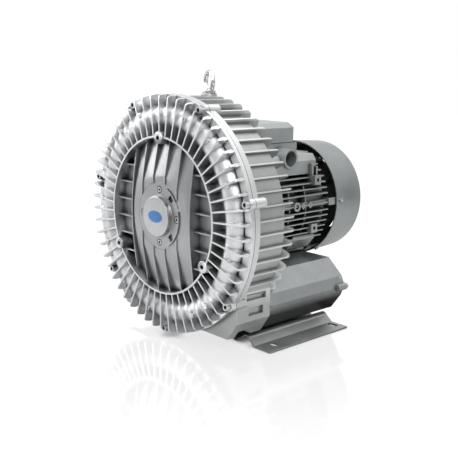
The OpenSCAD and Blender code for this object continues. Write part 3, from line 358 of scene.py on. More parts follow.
@dataclass(frozen=True)
class MetalFinish:
    """Cast, sprayed or plated metal, with painted shade in its gaps and rubbed edges that carry a painted
    highlight.

    Attributes:
        name: Name of the material.
        colour: Main colour.
        edge: Colour of rubbed edges and of the painted edge highlight.
        metallic: Share of bare metal in the reflection.
        roughness: Roughness of the flat surfaces.
        grain_size: Size of the surface grain.
        grain_depth: Depth of the surface grain.
        speckle: Strength of the speckle in the colour.
        cloud: Strength of slow colour changes.
        edge_width: Width of rubbed edges and of the painted edge highlight.
        edge_share: Strength of the edge colour.
        reach: Width of the gaps that get painted shade.
        shade: Share of the colour that the painted shade leaves deepest in gaps.
    """

    name: str
    colour: Colour
    edge: Colour
    metallic: float = 1.0
    roughness: float = 0.35
    grain_size: float = 0.0012
    grain_depth: float = 0.00008
    speckle: float = 0.08
    cloud: float = 0.10
    edge_width: float = 0.0008
    edge_share: float = 0.5
    reach: float = 0.014
    shade: float = 0.25

    def base(self, sh: Shader, masks: Masks) -> Socket:
        """Colour of the surface.

        Args:
            sh: Builder of the material's nodes.
            masks: Masks of the surface.

        Returns:
            The colour's socket.
        """
        dark, light = scaled(self.colour, 1 - self.cloud), scaled(self.colour, 1 + self.cloud)
        clouded = sh.blend(sh.span(masks.cloud, *CLOUDS, 0.0, 1.0), dark, light)
        speckled = sh.toned(clouded, sh.span(masks.speckle, *SPECKLES, 1.0, 1.0 - 2 * self.speckle))
        # rubbed edges, partly a painted highlight: edges are lightened towards the edge colour
        return sh.blend(sh.math("MULTIPLY", masks.edge, self.edge_share), speckled, self.edge)

    def build(self) -> bpy.types.Material:
        """Make the material.

        Returns:
            The finished material.
        """
        material, sh, shader = new_material(self.name)
        grain = sh.effect(Effect.GRAIN, Grain_size=self.grain_size)
        rub_and_highlight = sh.effect(Effect.EDGE, Width=self.edge_width)
        painted_shade = sh.effect(Effect.DEPTH, Reach=self.reach)
        cloud = grain.outputs["Cloud"]
        colour = self.base(sh, Masks(grain.outputs["Speckle"], cloud, rub_and_highlight.outputs["Mask"]))
        # painted shade: the colour is darkened where ambient occlusion finds gaps
        kept = sh.span(painted_shade.outputs["Unshaded"], 0.0, 1.0, self.shade, 1.0)
        sh.feed(shader, "Base Color", sh.toned(colour, kept))
        sh.feed(shader, "Roughness", sh.span(cloud, *CLOUDS, self.roughness * 0.85, self.roughness * 1.15))
        sh.feed(shader, "Metallic", self.metallic)
        sh.relief(shader, grain, self.grain_depth)
        return material


@dataclass(frozen=True)
class CoverFinish(MetalFinish):
    """Bright casting with painted shade in the recesses of its dish and over the dish, deepest at the dish's top.

    Attributes:
        recess_shade: Colour of the painted shade at the bottom of the dish's recesses.
        recess_shade_share: Strength of that painted shade.
        crest_y: Place of the rib crests along the shaft.
        floor_y: Place of the floors of the recesses.
        dish_r: Radius of the ribbed dish, which gets painted shade.
        hub_r: Radius of its middle, where the painted shade is weaker.
        hub_shade_share: Strength of the painted shade in the middle.
        dish_shade_tone: Share of the colour that the painted shade leaves on the dish.
        top_shade_tone: Factor on that share at the dish's top, where the painted shade is deepest.
        fade: Heights above the shaft between which the painted shade on the dish deepens.
    """

    recess_shade: Colour = (0.32, 0.33, 0.34)
    recess_shade_share: float = 0.85
    crest_y: float = -0.213
    floor_y: float = -0.196
    dish_r: float = 0.143
    hub_r: float = 0.037
    hub_shade_share: float = 0.6
    dish_shade_tone: float = 0.56
    top_shade_tone: float = 0.7
    fade: Pair = (0.01, 0.13)

    def base(self, sh: Shader, masks: Masks) -> Socket:
        """Colour of the surface, with painted shade that deepens behind the crests inside the dish, and over the
        dish.

        Args:
            sh: Builder of the material's nodes.
            masks: Masks of the surface.

        Returns:
            The colour's socket.
        """
        plain = super().base(sh, masks)
        level, radius = sh.about_shaft()
        # painted shade in the dish's recesses, deeper the further behind the crests
        depth = sh.span(sh.axes()[1], self.crest_y, self.floor_y, 0.0, 1.0)
        inside = sh.span(radius, self.dish_r, self.dish_r + 0.003, self.recess_shade_share, 0.0)
        kept = sh.math("SUBTRACT", 1.0, masks.edge)
        # painted shade over the dish, weaker in the middle and deepest at the top; edges keep their colour
        dish_shade = sh.math("MULTIPLY", sh.span(radius, self.dish_r - 0.004, self.dish_r, 1.0, 0.0),
                       sh.span(radius, self.hub_r, self.hub_r + 0.001, self.hub_shade_share, 1.0))
        shade_tone = sh.span(level, *self.fade, self.dish_shade_tone, self.dish_shade_tone * self.top_shade_tone)
        plain = sh.blend(sh.math("MULTIPLY", dish_shade, kept), plain, sh.toned(plain, shade_tone))
        return sh.blend(sh.math("MULTIPLY", sh.math("MULTIPLY", depth, inside), kept), plain, self.recess_shade)


@dataclass(frozen=True)
class CrestHighlightFinish(MetalFinish):
    """Sprayed casting with a painted highlight on its fin crests.

    Attributes:
        crest_r: Radius of the crests.
        crest_highlight_share: Strength of the painted highlight on them.
        fade: Heights above the shaft between which the painted highlight sets in.
    """

    crest_r: float = 0.2105
    crest_highlight_share: float = 0.55
    fade: Pair = (-0.15, -0.12)

    def base(self, sh: Shader, masks: Masks) -> Socket:
        """Colour of the surface, with a painted highlight on the crests.

        Args:
            sh: Builder of the material's nodes.
            masks: Masks of the surface.

        Returns:
            The colour's socket.
        """
        level, radius = sh.about_shaft()
        # painted highlight: the crests are lightened towards the edge colour
        crest = sh.math("MULTIPLY", sh.span(radius, self.crest_r - 0.002, self.crest_r, 0.0, self.crest_highlight_share),
                        sh.span(level, *self.fade, 0.0, 1.0))
        return sh.blend(crest, super().base(sh, masks), self.edge)


@dataclass(frozen=True)
class UndersideShadeFinish(MetalFinish):
    """Sprayed casting with painted shade on its underside.

    Attributes:
        low_z: Height at which the painted shade is deepest.
        high_z: Height at which it ends.
        low_tone: Share of the colour that is left in it.
    """

    low_z: float = 0.053
    high_z: float = 0.073
    low_tone: float = 0.02

    def base(self, sh: Shader, masks: Masks) -> Socket:
        """Colour of the surface, with painted shade that deepens towards the underside."""
        # painted shade: darker towards the bottom
        shade_tone = sh.span(sh.axes()[2], self.low_z, self.high_z, self.low_tone, 1.0)
        return sh.toned(super().base(sh, masks), shade_tone)


@dataclass(frozen=True)
class SoftFinish:
    """Rubber, plastic or foam.

    Attributes:
        name: Name of the material.
        colour: Main colour.
        roughness: Roughness of the surface.
        grain_size: Size of the grain.
        grain_depth: Depth of the grain.
        coat: Weight of a clear coat.
    """

    name: str
    colour: Colour
    roughness: float = 0.6
    grain_size: float = 0.0015
    grain_depth: float = 0.0001
    coat: float = 0.0

    def build(self) -> bpy.types.Material:
        """Make the material.

        Returns:
            The finished material.
        """
        material, sh, shader = new_material(self.name)
        grain = sh.effect(Effect.GRAIN, Grain_size=self.grain_size)
        cloud = sh.span(grain.outputs["Cloud"], *CLOUDS, 0.0, 1.0)
        sh.feed(shader, "Base Color", sh.blend(cloud, scaled(self.colour, 0.8), scaled(self.colour, 1.2)))
        rough = sh.span(grain.outputs["Speckle"], *SPECKLES, self.roughness * 0.9,
                        min(1.0, self.roughness * 1.1))
        sh.feed(shader, "Roughness", rough)
        sh.feed(shader, "Coat Weight", self.coat)
        sh.relief(shader, grain, self.grain_depth)
        return material


# colour of rubbed edges and of painted highlights on the sprayed castings
GREY_EDGE_AND_HIGHLIGHT = (0.80, 0.81, 0.81)

FINISHES: dict[Slot, MetalFinish | SoftFinish] = {
    Slot.COVER: CoverFinish("bright_casting", (0.78, 0.79, 0.80), (0.95, 0.96, 0.96), roughness=0.36,
                            grain_depth=0.00005, edge_width=0.0009, edge_share=0.8, shade=0.20),
    Slot.CASING: CrestHighlightFinish("casing_coat", (0.44, 0.46, 0.455), GREY_EDGE_AND_HIGHLIGHT, metallic=0.8, roughness=0.40,
                             reach=0.010, edge_share=0.7),
    # painted shade, almost black, in the gaps between the motor's fins
    Slot.MOTOR: MetalFinish("motor_coat", (0.40, 0.42, 0.42), GREY_EDGE_AND_HIGHLIGHT, metallic=0.75, roughness=0.40,
                            shade=0.03, edge_share=0.7),
    Slot.SILENCER: UndersideShadeFinish("silencer_coat", (0.36, 0.38, 0.38), GREY_EDGE_AND_HIGHLIGHT, metallic=0.8,
                                   roughness=0.36, reach=0.012, shade=0.15),
    # wide painted shade, almost black, inside the cowl
    Slot.COWL: MetalFinish("cowl_coat", (0.33, 0.35, 0.35), GREY_EDGE_AND_HIGHLIGHT, metallic=0.85, roughness=0.34,
                           grain_depth=0.00003, reach=0.045, shade=0.02),
    Slot.BASE: MetalFinish("base_coat", (0.39, 0.40, 0.40), (0.55, 0.55, 0.55), metallic=0.7, roughness=0.42,
                           grain_depth=0.00004),
    Slot.ZINC: MetalFinish("zinc_plate", (0.66, 0.67, 0.68), (0.9, 0.9, 0.9), roughness=0.28,
                           grain_size=0.0006, grain_depth=0.00002),
    Slot.EYE: MetalFinish("eye_plate", (0.72, 0.73, 0.74), (0.95, 0.95, 0.95), roughness=0.14,
                          grain_depth=0.00002, speckle=0.02),
    Slot.BADGE: SoftFinish("badge_enamel", (0.001, 0.13, 0.42), roughness=0.3, grain_depth=0.00001, coat=0.6),
    Slot.RUBBER: SoftFinish("black_rubber", (0.02, 0.02, 0.022), roughness=0.7),
    Slot.BEARING: MetalFinish("bearing_steel", (0.55, 0.56, 0.58), (0.8, 0.8, 0.8), roughness=0.12,
                              grain_depth=0.00001, speckle=0.02),
    Slot.IMPELLER: MetalFinish("impeller_alloy", (0.62, 0.63, 0.64), (0.85, 0.85, 0.85), roughness=0.4),
    Slot.SHAFT: MetalFinish("turned_steel", (0.50, 0.51, 0.52), (0.8, 0.8, 0.8), roughness=0.25,
                            grain_depth=0.00001),
    Slot.CORE: MetalFinish("core_steel", (0.16, 0.17, 0.18), (0.4, 0.4, 0.4), roughness=0.5),
    Slot.COPPER: MetalFinish("winding_wire", (0.45, 0.16, 0.06), (0.8, 0.4, 0.2), roughness=0.3,
                             grain_size=0.002, grain_depth=0.0003),
    Slot.FAN: SoftFinish("fan_plastic", (0.018, 0.018, 0.02), roughness=0.5),
    Slot.TERMINAL: SoftFinish("terminal_plastic", (0.03, 0.025, 0.02), roughness=0.45),
    Slot.BRASS: MetalFinish("stud_brass", (0.60, 0.42, 0.16), (0.9, 0.75, 0.4), roughness=0.25),
    Slot.FOAM: SoftFinish("liner_foam", (0.035, 0.035, 0.038), roughness=0.95, grain_size=0.003,
                          grain_depth=0.001),
}


def mesh_y(station: float) -> float:
    """Y, in metres, of a station."""
    return FLANGE_REAR_Y + station * MM


def mesh_z(height: float) -> float:
    """Z, in metres, of a height above the shaft."""
    return AXIS_Z + height * MM


def round_edges(piece: Piece, width: float, segments: int = 2, angle: float = 32.0) -> None:
    """Round a piece's sharp edges.

    Args:
        piece: The piece.
        width: Width of the rounding.
        segments: Number of faces across the rounding.
        angle: Smallest angle, in degrees, of an edge that is rounded.
    """
    bevel = piece.modifiers.new("rounding", "BEVEL")
    bevel.width = width * MM
    bevel.segments = segments
    bevel.limit_method = "ANGLE"
    bevel.angle_limit = math.radians(angle)
    bevel.use_clamp_overlap = True
    apply_all(piece)


def pick(*pieces: Piece) -> Piece:
    """Select pieces, the first one active, and give that one back."""
    clear_selection()
    for piece in pieces:
        piece.select_set(True)
    bpy.context.view_layer.objects.active = pieces[0]
    return pieces[0]


def settle() -> Piece:
    """Move the active object's place, turn and scale into its mesh, and give the object back."""
    bpy.ops.object.transform_apply(location=True, rotation=True, scale=True)
    return bpy.context.object


def apply_all(piece: Piece) -> None:
    """Apply every modifier of a piece."""
    pick(piece)
    for modifier in list(piece.modifiers):
        bpy.ops.object.modifier_apply(modifier=modifier.name)


def cut(piece: Piece, *tools: Piece) -> None:
    """Cut tool shapes out of a piece, and remove the tools.

    Args:
        piece: The piece.
        tools: The shapes to take away.
    """
    for tool in tools:
        boolean = piece.modifiers.new("cut", "BOOLEAN")
        boolean.operation = "DIFFERENCE"
        boolean.solver = "EXACT"
        boolean.object = tool
    apply_all(piece)
    for tool in tools:
        bpy.data.objects.remove(tool)


def joined(*pieces: Piece) -> Piece:
    """Join pieces into the first of them, and give it back."""
    pick(*pieces)
    bpy.ops.object.join()
    return pieces[0]


def bar(low: Point, high: Point) -> Piece:
    """Block between two corners.

    Args:
        low: Lowest corner: distance from the shaft's plane, station and height.
        high: Highest corner, the same way.

    Returns:
        The block.
    """
    clear_selection()
    corners = [Vector((p[0] * MM, mesh_y(p[1]), mesh_z(p[2]))) for p in (low, high)]
    bpy.ops.mesh.primitive_cube_add(size=1.0, location=(corners[0] + corners[1]) / 2)
    bpy.context.object.scale = corners[1] - corners[0]
    return settle()


def cylinder(radius: float, length: float, centre: Point, sides: int,
             turn: Point = (0.0, 0.0, 0.0)) -> Piece:
    """Cylinder about a point.

    Args:
        radius: Its radius.
        length: Its length.
        centre: The point, in metres.
        sides: Number of faces round it.
        turn: Turn from upright about X, Y and Z, in degrees.

    Returns:
        The cylinder.
    """
    clear_selection()
    bpy.ops.mesh.primitive_cylinder_add(vertices=sides, radius=radius * MM, depth=length * MM,
                                        location=centre, rotation=[math.radians(t) for t in turn])
    return settle()


def rod(radius: float, start: float, end: float, x: float = 0.0, sides: int = 48) -> Piece:
    """Cylinder along the shaft between two stations, at a distance from the shaft's plane."""
    centre = (x * MM, mesh_y((start + end) / 2), mesh_z(0.0))
    return cylinder(radius, end - start, centre, sides, (90.0, 0.0, 0.0))


def side_rod(radius: float, start: float, end: float, station: float, height: float, sides: int = 32) -> Piece:
    """Cylinder that stands out sideways, between two distances from the shaft's plane."""
    centre = ((start + end) / 2 * MM, mesh_y(station), mesh_z(height))
    return cylinder(radius, end - start, centre, sides, (0.0, 90.0, 0.0))


def turned(profile: list[Pair], closed: bool = True, sides: int = 96) -> Piece:
    """Form about the shaft, drawn out section by section.

    Args:
        profile: Radius and station of each section.
        closed: True for a ring, whose last section joins the first; False for a body with two flat ends.
        sides: Number of faces round the shaft.

    Returns:
        The turned form.
    """
    clear_selection()
    radius, station = profile[0]
    bpy.ops.mesh.primitive_circle_add(vertices=sides, radius=radius * MM,
                                      fill_type="NOTHING" if closed else "NGON",
                                      location=(0.0, mesh_y(station), AXIS_Z),
                                      rotation=(math.radians(90), 0.0, 0.0))
    form = settle()
    bpy.ops.object.mode_set(mode="EDIT")
    bpy.ops.mesh.select_all(action="SELECT")
    for new_radius, new_station in profile[1:] + (profile[:1] if closed else []):
        step = (0.0, (new_station - station) * MM, 0.0)
        bpy.ops.mesh.extrude_region_move(TRANSFORM_OT_translate={"value": step})
        growth = new_radius / radius
        bpy.ops.transform.resize(value=(growth, 1.0, growth),
                                 center_override=(0.0, mesh_y(new_station), AXIS_Z))
        radius, station = new_radius, new_station
    close_shell()
    return form


def close_shell() -> None:
    """Merge doubles and turn the faces of the mesh in edit mode outwards, then leave edit mode."""
    bpy.ops.mesh.select_all(action="SELECT")
    bpy.ops.mesh.remove_doubles(threshold=MERGE)
    bpy.ops.mesh.normals_make_consistent(inside=False)
    bpy.ops.object.mode_set(mode="OBJECT")


def turn_about_shaft(piece: Piece, degrees: float) -> Piece:
    """Turn a piece's mesh about the shaft, from +X upwards, and give the piece back.

    Args:
        piece: The piece.
        degrees: Angle of the turn.

    Returns:
        The same piece.
    """
    centre = Matrix.Translation((0.0, 0.0, AXIS_Z))
    piece.data.transform(centre @ Matrix.Rotation(math.radians(-degrees), 4, "Y") @ centre.inverted())
    return piece


def arc_bar(radii: Pair, stations: Pair, angles: Pair) -> Piece:
    """Part of a ring about the shaft.

    Args:
        radii: Inner and outer radius.
        stations: First and last station.
        angles: Angles at which it starts and ends, in degrees.

    Returns:
        The arc.
    """
    clear_selection()
    bpy.ops.mesh.primitive_plane_add(size=1.0)
    plane = bpy.context.object
    plane.scale = ((radii[1] - radii[0]) * MM, (stations[1] - stations[0]) * MM, 1.0)
    plane.location = (sum(radii) / 2 * MM, mesh_y(sum(stations) / 2), AXIS_Z)
    arc = turn_about_shaft(settle(), angles[0])
    sweep = angles[1] - angles[0]
    bpy.ops.object.mode_set(mode="EDIT")
    bpy.ops.mesh.select_all(action="SELECT")
    bpy.ops.mesh.spin(steps=max(3, round(abs(sweep) / 4)), angle=math.radians(sweep),
                      center=(0.0, 0.0, AXIS_Z), axis=(0.0, 1.0, 0.0))
    close_shell()
    return arc


def mirrored(piece: Piece) -> Piece:
    """Copy of a piece on the other side of the shaft's plane, with its own mesh."""
    copy = piece.copy()
    copy.data = piece.data.copy()
    bpy.context.scene.collection.objects.link(copy)
    copy.data.transform(Matrix.Scale(-1.0, 4, (1.0, 0.0, 0.0)))
    copy.data.flip_normals()
    return copy


def merged_copy(node: str) -> Piece:
    """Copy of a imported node, its loose triangles merged into closed shells with flat faces.

    Args:
        node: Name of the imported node.

    Returns:
        The copy.
    """
    source = frame["nodes"][node]
    piece = bpy.data.objects.new(node + "_copy", source.data.copy())
    bpy.context.scene.collection.objects.link(piece)
    pick(piece)
    bpy.ops.mesh.customdata_custom_splitnormals_clear()
    bpy.ops.object.mode_set(mode="EDIT")
    bpy.ops.mesh.select_all(action="SELECT")
    bpy.ops.mesh.remove_doubles(threshold=MERGE)
    bpy.ops.mesh.dissolve_limited(angle_limit=math.radians(1.0))
    bpy.ops.object.mode_set(mode="OBJECT")
    return piece


def in_machine(vertex: bpy.types.MeshVertex) -> Point:
    """Distance from the shaft's plane, station and height of a vertex."""
    return vertex.co.x / MM, (vertex.co.y - FLANGE_REAR_Y) / MM, (vertex.co.z - AXIS_Z) / MM


@dataclass
class Wardrobe:
    """All finishes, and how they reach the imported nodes.

    Attributes:
        made: Material of each slot.
    """

    made: dict[str, bpy.types.Material] = field(default_factory=dict)

    def build(self) -> None:
        """Make the shared effects and every finish."""
        build_grain()
        build_edge()
        build_painted_shade()
        for slot, finish in FINISHES.items():
            self.made[slot.value] = finish.build()

    def dress_nodes(self) -> None:
        """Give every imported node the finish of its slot."""
        slots = {part["node"]: part["material_slot"] for part in frame["record"]["subparts"]}
        for name, node in frame["nodes"].items():
            node.data.materials.clear()
            node.data.materials.append(self.made[slots[name]])
            log.info("dressed %s as %s", name, slots[name])


@dataclass
class Workshop:
    """Hands out finished pieces: the material of their slot, smooth shading and their body, and hides the imported
    nodes that they stand for.

    Attributes:
        wardrobe: The finishes.
        count: Number of pieces made.
    """

    wardrobe: Wardrobe
    count: int = 0

    def hand_out(self, piece: Piece, name: str, slot: Slot, body: str = ROOT, *nodes: str,
                 smooth: float = 35.0) -> None:
        """Finish a piece.

        Args:
            piece: The piece, its place in its mesh.
            name: Its name.
            slot: Material slot of its finish.
            body: The body that it rides on.
            nodes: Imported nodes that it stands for.
            smooth: Largest angle, in degrees, that is shaded smooth.
        """
        piece.name = name
        piece.data.name = name
        pick(piece)
        bpy.ops.object.shade_smooth_by_angle(angle=math.radians(smooth))
        even = piece.modifiers.new("even_shading", "WEIGHTED_NORMAL")
        even.keep_sharp = True
        apply_all(piece)
        piece.data.materials.clear()
        piece.data.materials.append(self.wardrobe.made[slot.value])
        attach(piece, body)
        if nodes:
            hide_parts(*nodes)
        self.count += 1
        log.info("made %s: %d faces", name, len(piece.data.polygons))


@dataclass(frozen=True)
class Rounding:
    """Rounded edges of a piece that keeps its packed form.

    Attributes:
        name: Name of the piece.
        width: Width of the rounding.
        segments: Faces across the rounding.
        ridge: Width of the rounding of the long edges along the shaft, or 0.
        ridge_length: Shortest such edge.
    """

    name: str
    width: float
    segments: int = 2
    ridge: float = 0.0
    ridge_length: float = 100.0

    def round_ridges(self, piece: Piece) -> None:
        """Round the long edges along the shaft more than the rest."""
        mesh = piece.data
        weights = mesh.attributes.new("bevel_weight_edge", "FLOAT", "EDGE")
        for edge in mesh.edges:
            a, b = (mesh.vertices[i].co for i in edge.vertices)
            along = abs(b.y - a.y)
            level = math.hypot(b.x - a.x, b.z - a.z)
            weights.data[edge.index].value = 1.0 if along > self.ridge_length * MM and level < MM else 0.0
        bevel = piece.modifiers.new("ridges", "BEVEL")
        bevel.width = self.ridge * MM
        bevel.segments = 4
        bevel.limit_method = "WEIGHT"
        apply_all(piece)

    def build(self, shop: Workshop, node: str, slot: Slot, body: str) -> None:
        """Make the piece.

        Args:
            shop: The workshop.
            node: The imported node.
            slot: Its material slot.
            body: Its body.
        """
        piece = merged_copy(node)
        if self.ridge:
            self.round_ridges(piece)
        round_edges(piece, self.width, self.segments)
        shop.hand_out(piece, self.name, slot, body, node)


ROUNDED: dict[str, Rounding] = {
    "rear_shield": Rounding("shield_casting", 0.5),
    "terminal_box": Rounding("box_casting", 1.2),
    "box_lid": Rounding("lid_casting", 1.2, 3),
    "outlet_silencer": Rounding("outlet_silencer_casting", 0.8, 2, 5.0),
    "inlet_silencer": Rounding("inlet_silencer_casting", 0.8, 2, 5.0),
    "outlet_cover": Rounding("outlet_cover_casting", 0.8),
    "inlet_cover": Rounding("inlet_cover_casting", 0.8),
    "base_plate": Rounding("base_pressing", 0.4, 2, 6.0),
    "impeller": Rounding("impeller_casting", 0.4),
    "fan_cowl": Rounding("cowl_pressing", 0.4),
    "cover_bolts": Rounding("cover_bolt_set", 0.35),
    "cap_screws": Rounding("cap_screw_set", 0.3),
    "tie_bolts": Rounding("tie_bolt_set", 0.3),
    "cowl_screws": Rounding("cowl_screw_set", 0.25),
    "lid_screws": Rounding("lid_screw_set", 0.25),
    "silencer_bolts": Rounding("silencer_bolt_set", 0.3),
    "silencer_screws": Rounding("silencer_screw_set", 0.3),
    "base_bolts": Rounding("base_bolt_set", 0.3),
    "shaft": Rounding("turned_shaft", 0.4),
    "rotor_core": Rounding("core_stack", 0.4),
    "front_bearing_outer": Rounding("front_outer_race", 0.5),
    "front_bearing_inner": Rounding("front_inner_race", 0.5),
    "rear_bearing_outer": Rounding("rear_outer_race", 0.5),
    "rear_bearing_inner": Rounding("rear_inner_race", 0.5),
}


@dataclass(frozen=True)
class FinRing:
    """Fins that stand round the shaft like rays.

    Attributes:
        count: Number of fins in a full ring.
        start: Angle of the first fin, in degrees.
        half: Half of a fin's thickness at its crest.
    """

    count: int = 54
    start: float = 4.0
    half: float = 1.5

    @property
    def pitch(self) -> float:
        """Angle between two fins, in degrees."""
        return 360.0 / self.count

    def nearest(self, x: float, height: float) -> float:
        """Angle, in degrees, of the fin nearest to a point."""
        angle = math.degrees(math.atan2(height, x))
        return self.start + round((angle - self.start) / self.pitch) * self.pitch


@dataclass
class FrontCover:
    """Finned cover casting with the ribbed dish.

    Attributes:
        fins: Ring of fins.
        crest: Station of the fin crests.
        flange: Station of the flange's front face.
        ring_r: Outer radius of the ring wall.
        draft: Growth of a fin's half thickness per millimetre of depth.
        bolt_count: Number of cover bolts.
        bolt_reach: Angle from a bolt within which a fin is slim, in degrees.
        bolt_share: Share of the draft that a slim fin has.
        end_centre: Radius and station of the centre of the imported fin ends.
        end_radii: Radii of those ends across and along the shaft.
        new_ends: Radius and station of the fin ends, from the crest down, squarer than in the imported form.
        near: Distance within which a vertex counts as one of a packed fin end.
        boss_angles: Angles of the bosses on the ring wall.
        boss_circle: Radius of their circle.
        boss_profile: Radius and station of a boss's sections.
    """

    fins: FinRing = FinRing()
    crest: float = -39.6
    flange: float = -20.5
    ring_r: float = 146.0
    draft: float = 0.13
    bolt_count: int = 7
    bolt_reach: float = 3.2
    bolt_share: float = 0.4
    end_centre: Pair = (205.0, -19.5)
    end_radii: Pair = (14.5, 20.1)
    new_ends: tuple[Pair, ...] = ((213.0, -39.6), (216.4, -38.8), (218.0, -36.4),
                                                 (218.8, -31.5), (219.3, -25.7))
    near: float = 0.15
    boss_angles: tuple[float, ...] = (90.0, 210.0, 330.0)
    boss_circle: float = 142.5
    boss_profile: tuple[Pair, ...] = ((4.2, -44.6), (9.6, -44.6), (11.2, -43.4), (11.8, -36.0),
                                                     (12.4, -19.5), (4.2, -19.5))

    def old_ends(self) -> list[Pair]:
        """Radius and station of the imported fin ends, from the crest down."""
        arc = [math.radians(-90 + 18 * i) for i in range(len(self.new_ends))]
        (radius, station), (across, along) = self.end_centre, self.end_radii
        return [(radius + across * math.cos(a), station + along * math.sin(a)) for a in arc]

    def fin_share(self, angle: float) -> float:
        """Draft of the fin at an angle, as a share of the full draft."""
        pitch = 360.0 / self.bolt_count
        away = abs((angle + 90.0 + pitch / 2) % pitch - pitch / 2)
        return self.bolt_share if away < self.bolt_reach else 1.0

    def shape_fins(self, mesh: bpy.types.Mesh) -> None:
        """Give the fins their draft and their squarer ends.

        Args:
            mesh: Mesh of the merged copy.
        """
        half = self.fins.half
        pairs = list(zip(self.old_ends(), self.new_ends))
        for vertex in mesh.vertices:
            x, station, height = in_machine(vertex)
            radius = math.hypot(x, height)
            if station > self.flange - 0.01 or radius < self.ring_r - 0.05:
                continue
            degrees = self.fins.nearest(x, height)
            cosine, sine = math.cos(math.radians(degrees)), math.sin(math.radians(degrees))
            along, aside = x * cosine + height * sine, height * cosine - x * sine
            if abs(abs(aside) - half) < 0.05:
                for old, new in pairs:
                    if abs(along - old[0]) < self.near and abs(station - old[1]) < self.near:
                        along, station = new
                        break
            depth = max(0.0, station - self.crest)
            half_gap = radius * math.sin(math.radians(self.fins.pitch / 2))
            fade = 1.0
            if abs(aside) > half:
                fade = max(0.0, 1.0 - (abs(aside) - half) / (half_gap - half))
            aside += math.copysign(self.draft * depth * fade * self.fin_share(degrees), aside)
            vertex.co = ((along * cosine - aside * sine) * MM, mesh_y(station),
                         mesh_z(along * sine + aside * cosine))

    def ring_bosses(self) -> Piece:
        """Bosses on the ring wall, with their holes."""
        bosses = []
        for angle in self.boss_angles:
            boss = turned(list(self.boss_profile))
            boss.data.transform(Matrix.Translation((self.boss_circle * MM, 0.0, 0.0)))
            bosses.append(turn_about_shaft(boss, angle))
        whole = joined(*bosses)
        round_edges(whole, 0.7)
        return whole

    def build(self, shop: Workshop) -> None:
        """Make the casting and the bosses on its ring wall."""
        piece = merged_copy("front_cover")
        self.shape_fins(piece.data)
        round_edges(piece, 0.6)
        shop.hand_out(piece, "cover_casting", Slot.COVER, ROOT, "front_cover")
        shop.hand_out(self.ring_bosses(), "ring_bosses", Slot.COVER)


@dataclass
class RearCasing:
    """Finned casing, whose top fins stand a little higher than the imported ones.

    Attributes:
        fins: Ring of fins.
        crest_r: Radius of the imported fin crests.
        corner: Radius of the fins' round rear corners.
        barrel_r: Radius of the barrel between the fins.
        barrel_end: Station of the barrel's rear end.
        raise_by: Growth of the crests at the very top.
        half_span: Half of the sector of raised fins, in degrees.
        fade: Angle over which the growth sets in.
    """

    fins: FinRing = FinRing()
    crest_r: float = 212.0
    corner: float = 14.0
    barrel_r: float = 205.0
    barrel_end: float = 74.0
    raise_by: float = 4.0
    half_span: float = 42.0
    fade: float = 20.0

    def raise_fins(self, mesh: bpy.types.Mesh) -> None:
        """Raise the fins at the top.

        Args:
            mesh: Mesh of the merged copy.
        """
        for vertex in mesh.vertices:
            x, station, height = in_machine(vertex)
            radius, angle = math.hypot(x, height), math.degrees(math.atan2(height, x))
            off = math.radians(angle - self.fins.nearest(x, height))
            beside = abs(abs(radius * math.sin(off)) - self.fins.half) > 0.1
            low = radius < self.barrel_r + 1.0 and station < self.barrel_end + 1.0
            if beside or low or station < -0.1:
                continue
            share = min(1.0, max(0.0, (self.half_span - abs(angle - 90.0)) / self.fade))
            share *= min(1.0, max(0.0, 1.0 - (self.crest_r - radius) / self.corner))
            grown = 1.0 + share * self.raise_by / radius
            vertex.co = (x * grown * MM, vertex.co.y, mesh_z(height * grown))

    def build(self, shop: Workshop) -> None:
        """Make the casting."""
        piece = merged_copy("rear_casing")
        self.raise_fins(piece.data)
        round_edges(piece, 0.7)
        shop.hand_out(piece, "casing_casting", Slot.CASING, ROOT, "rear_casing")


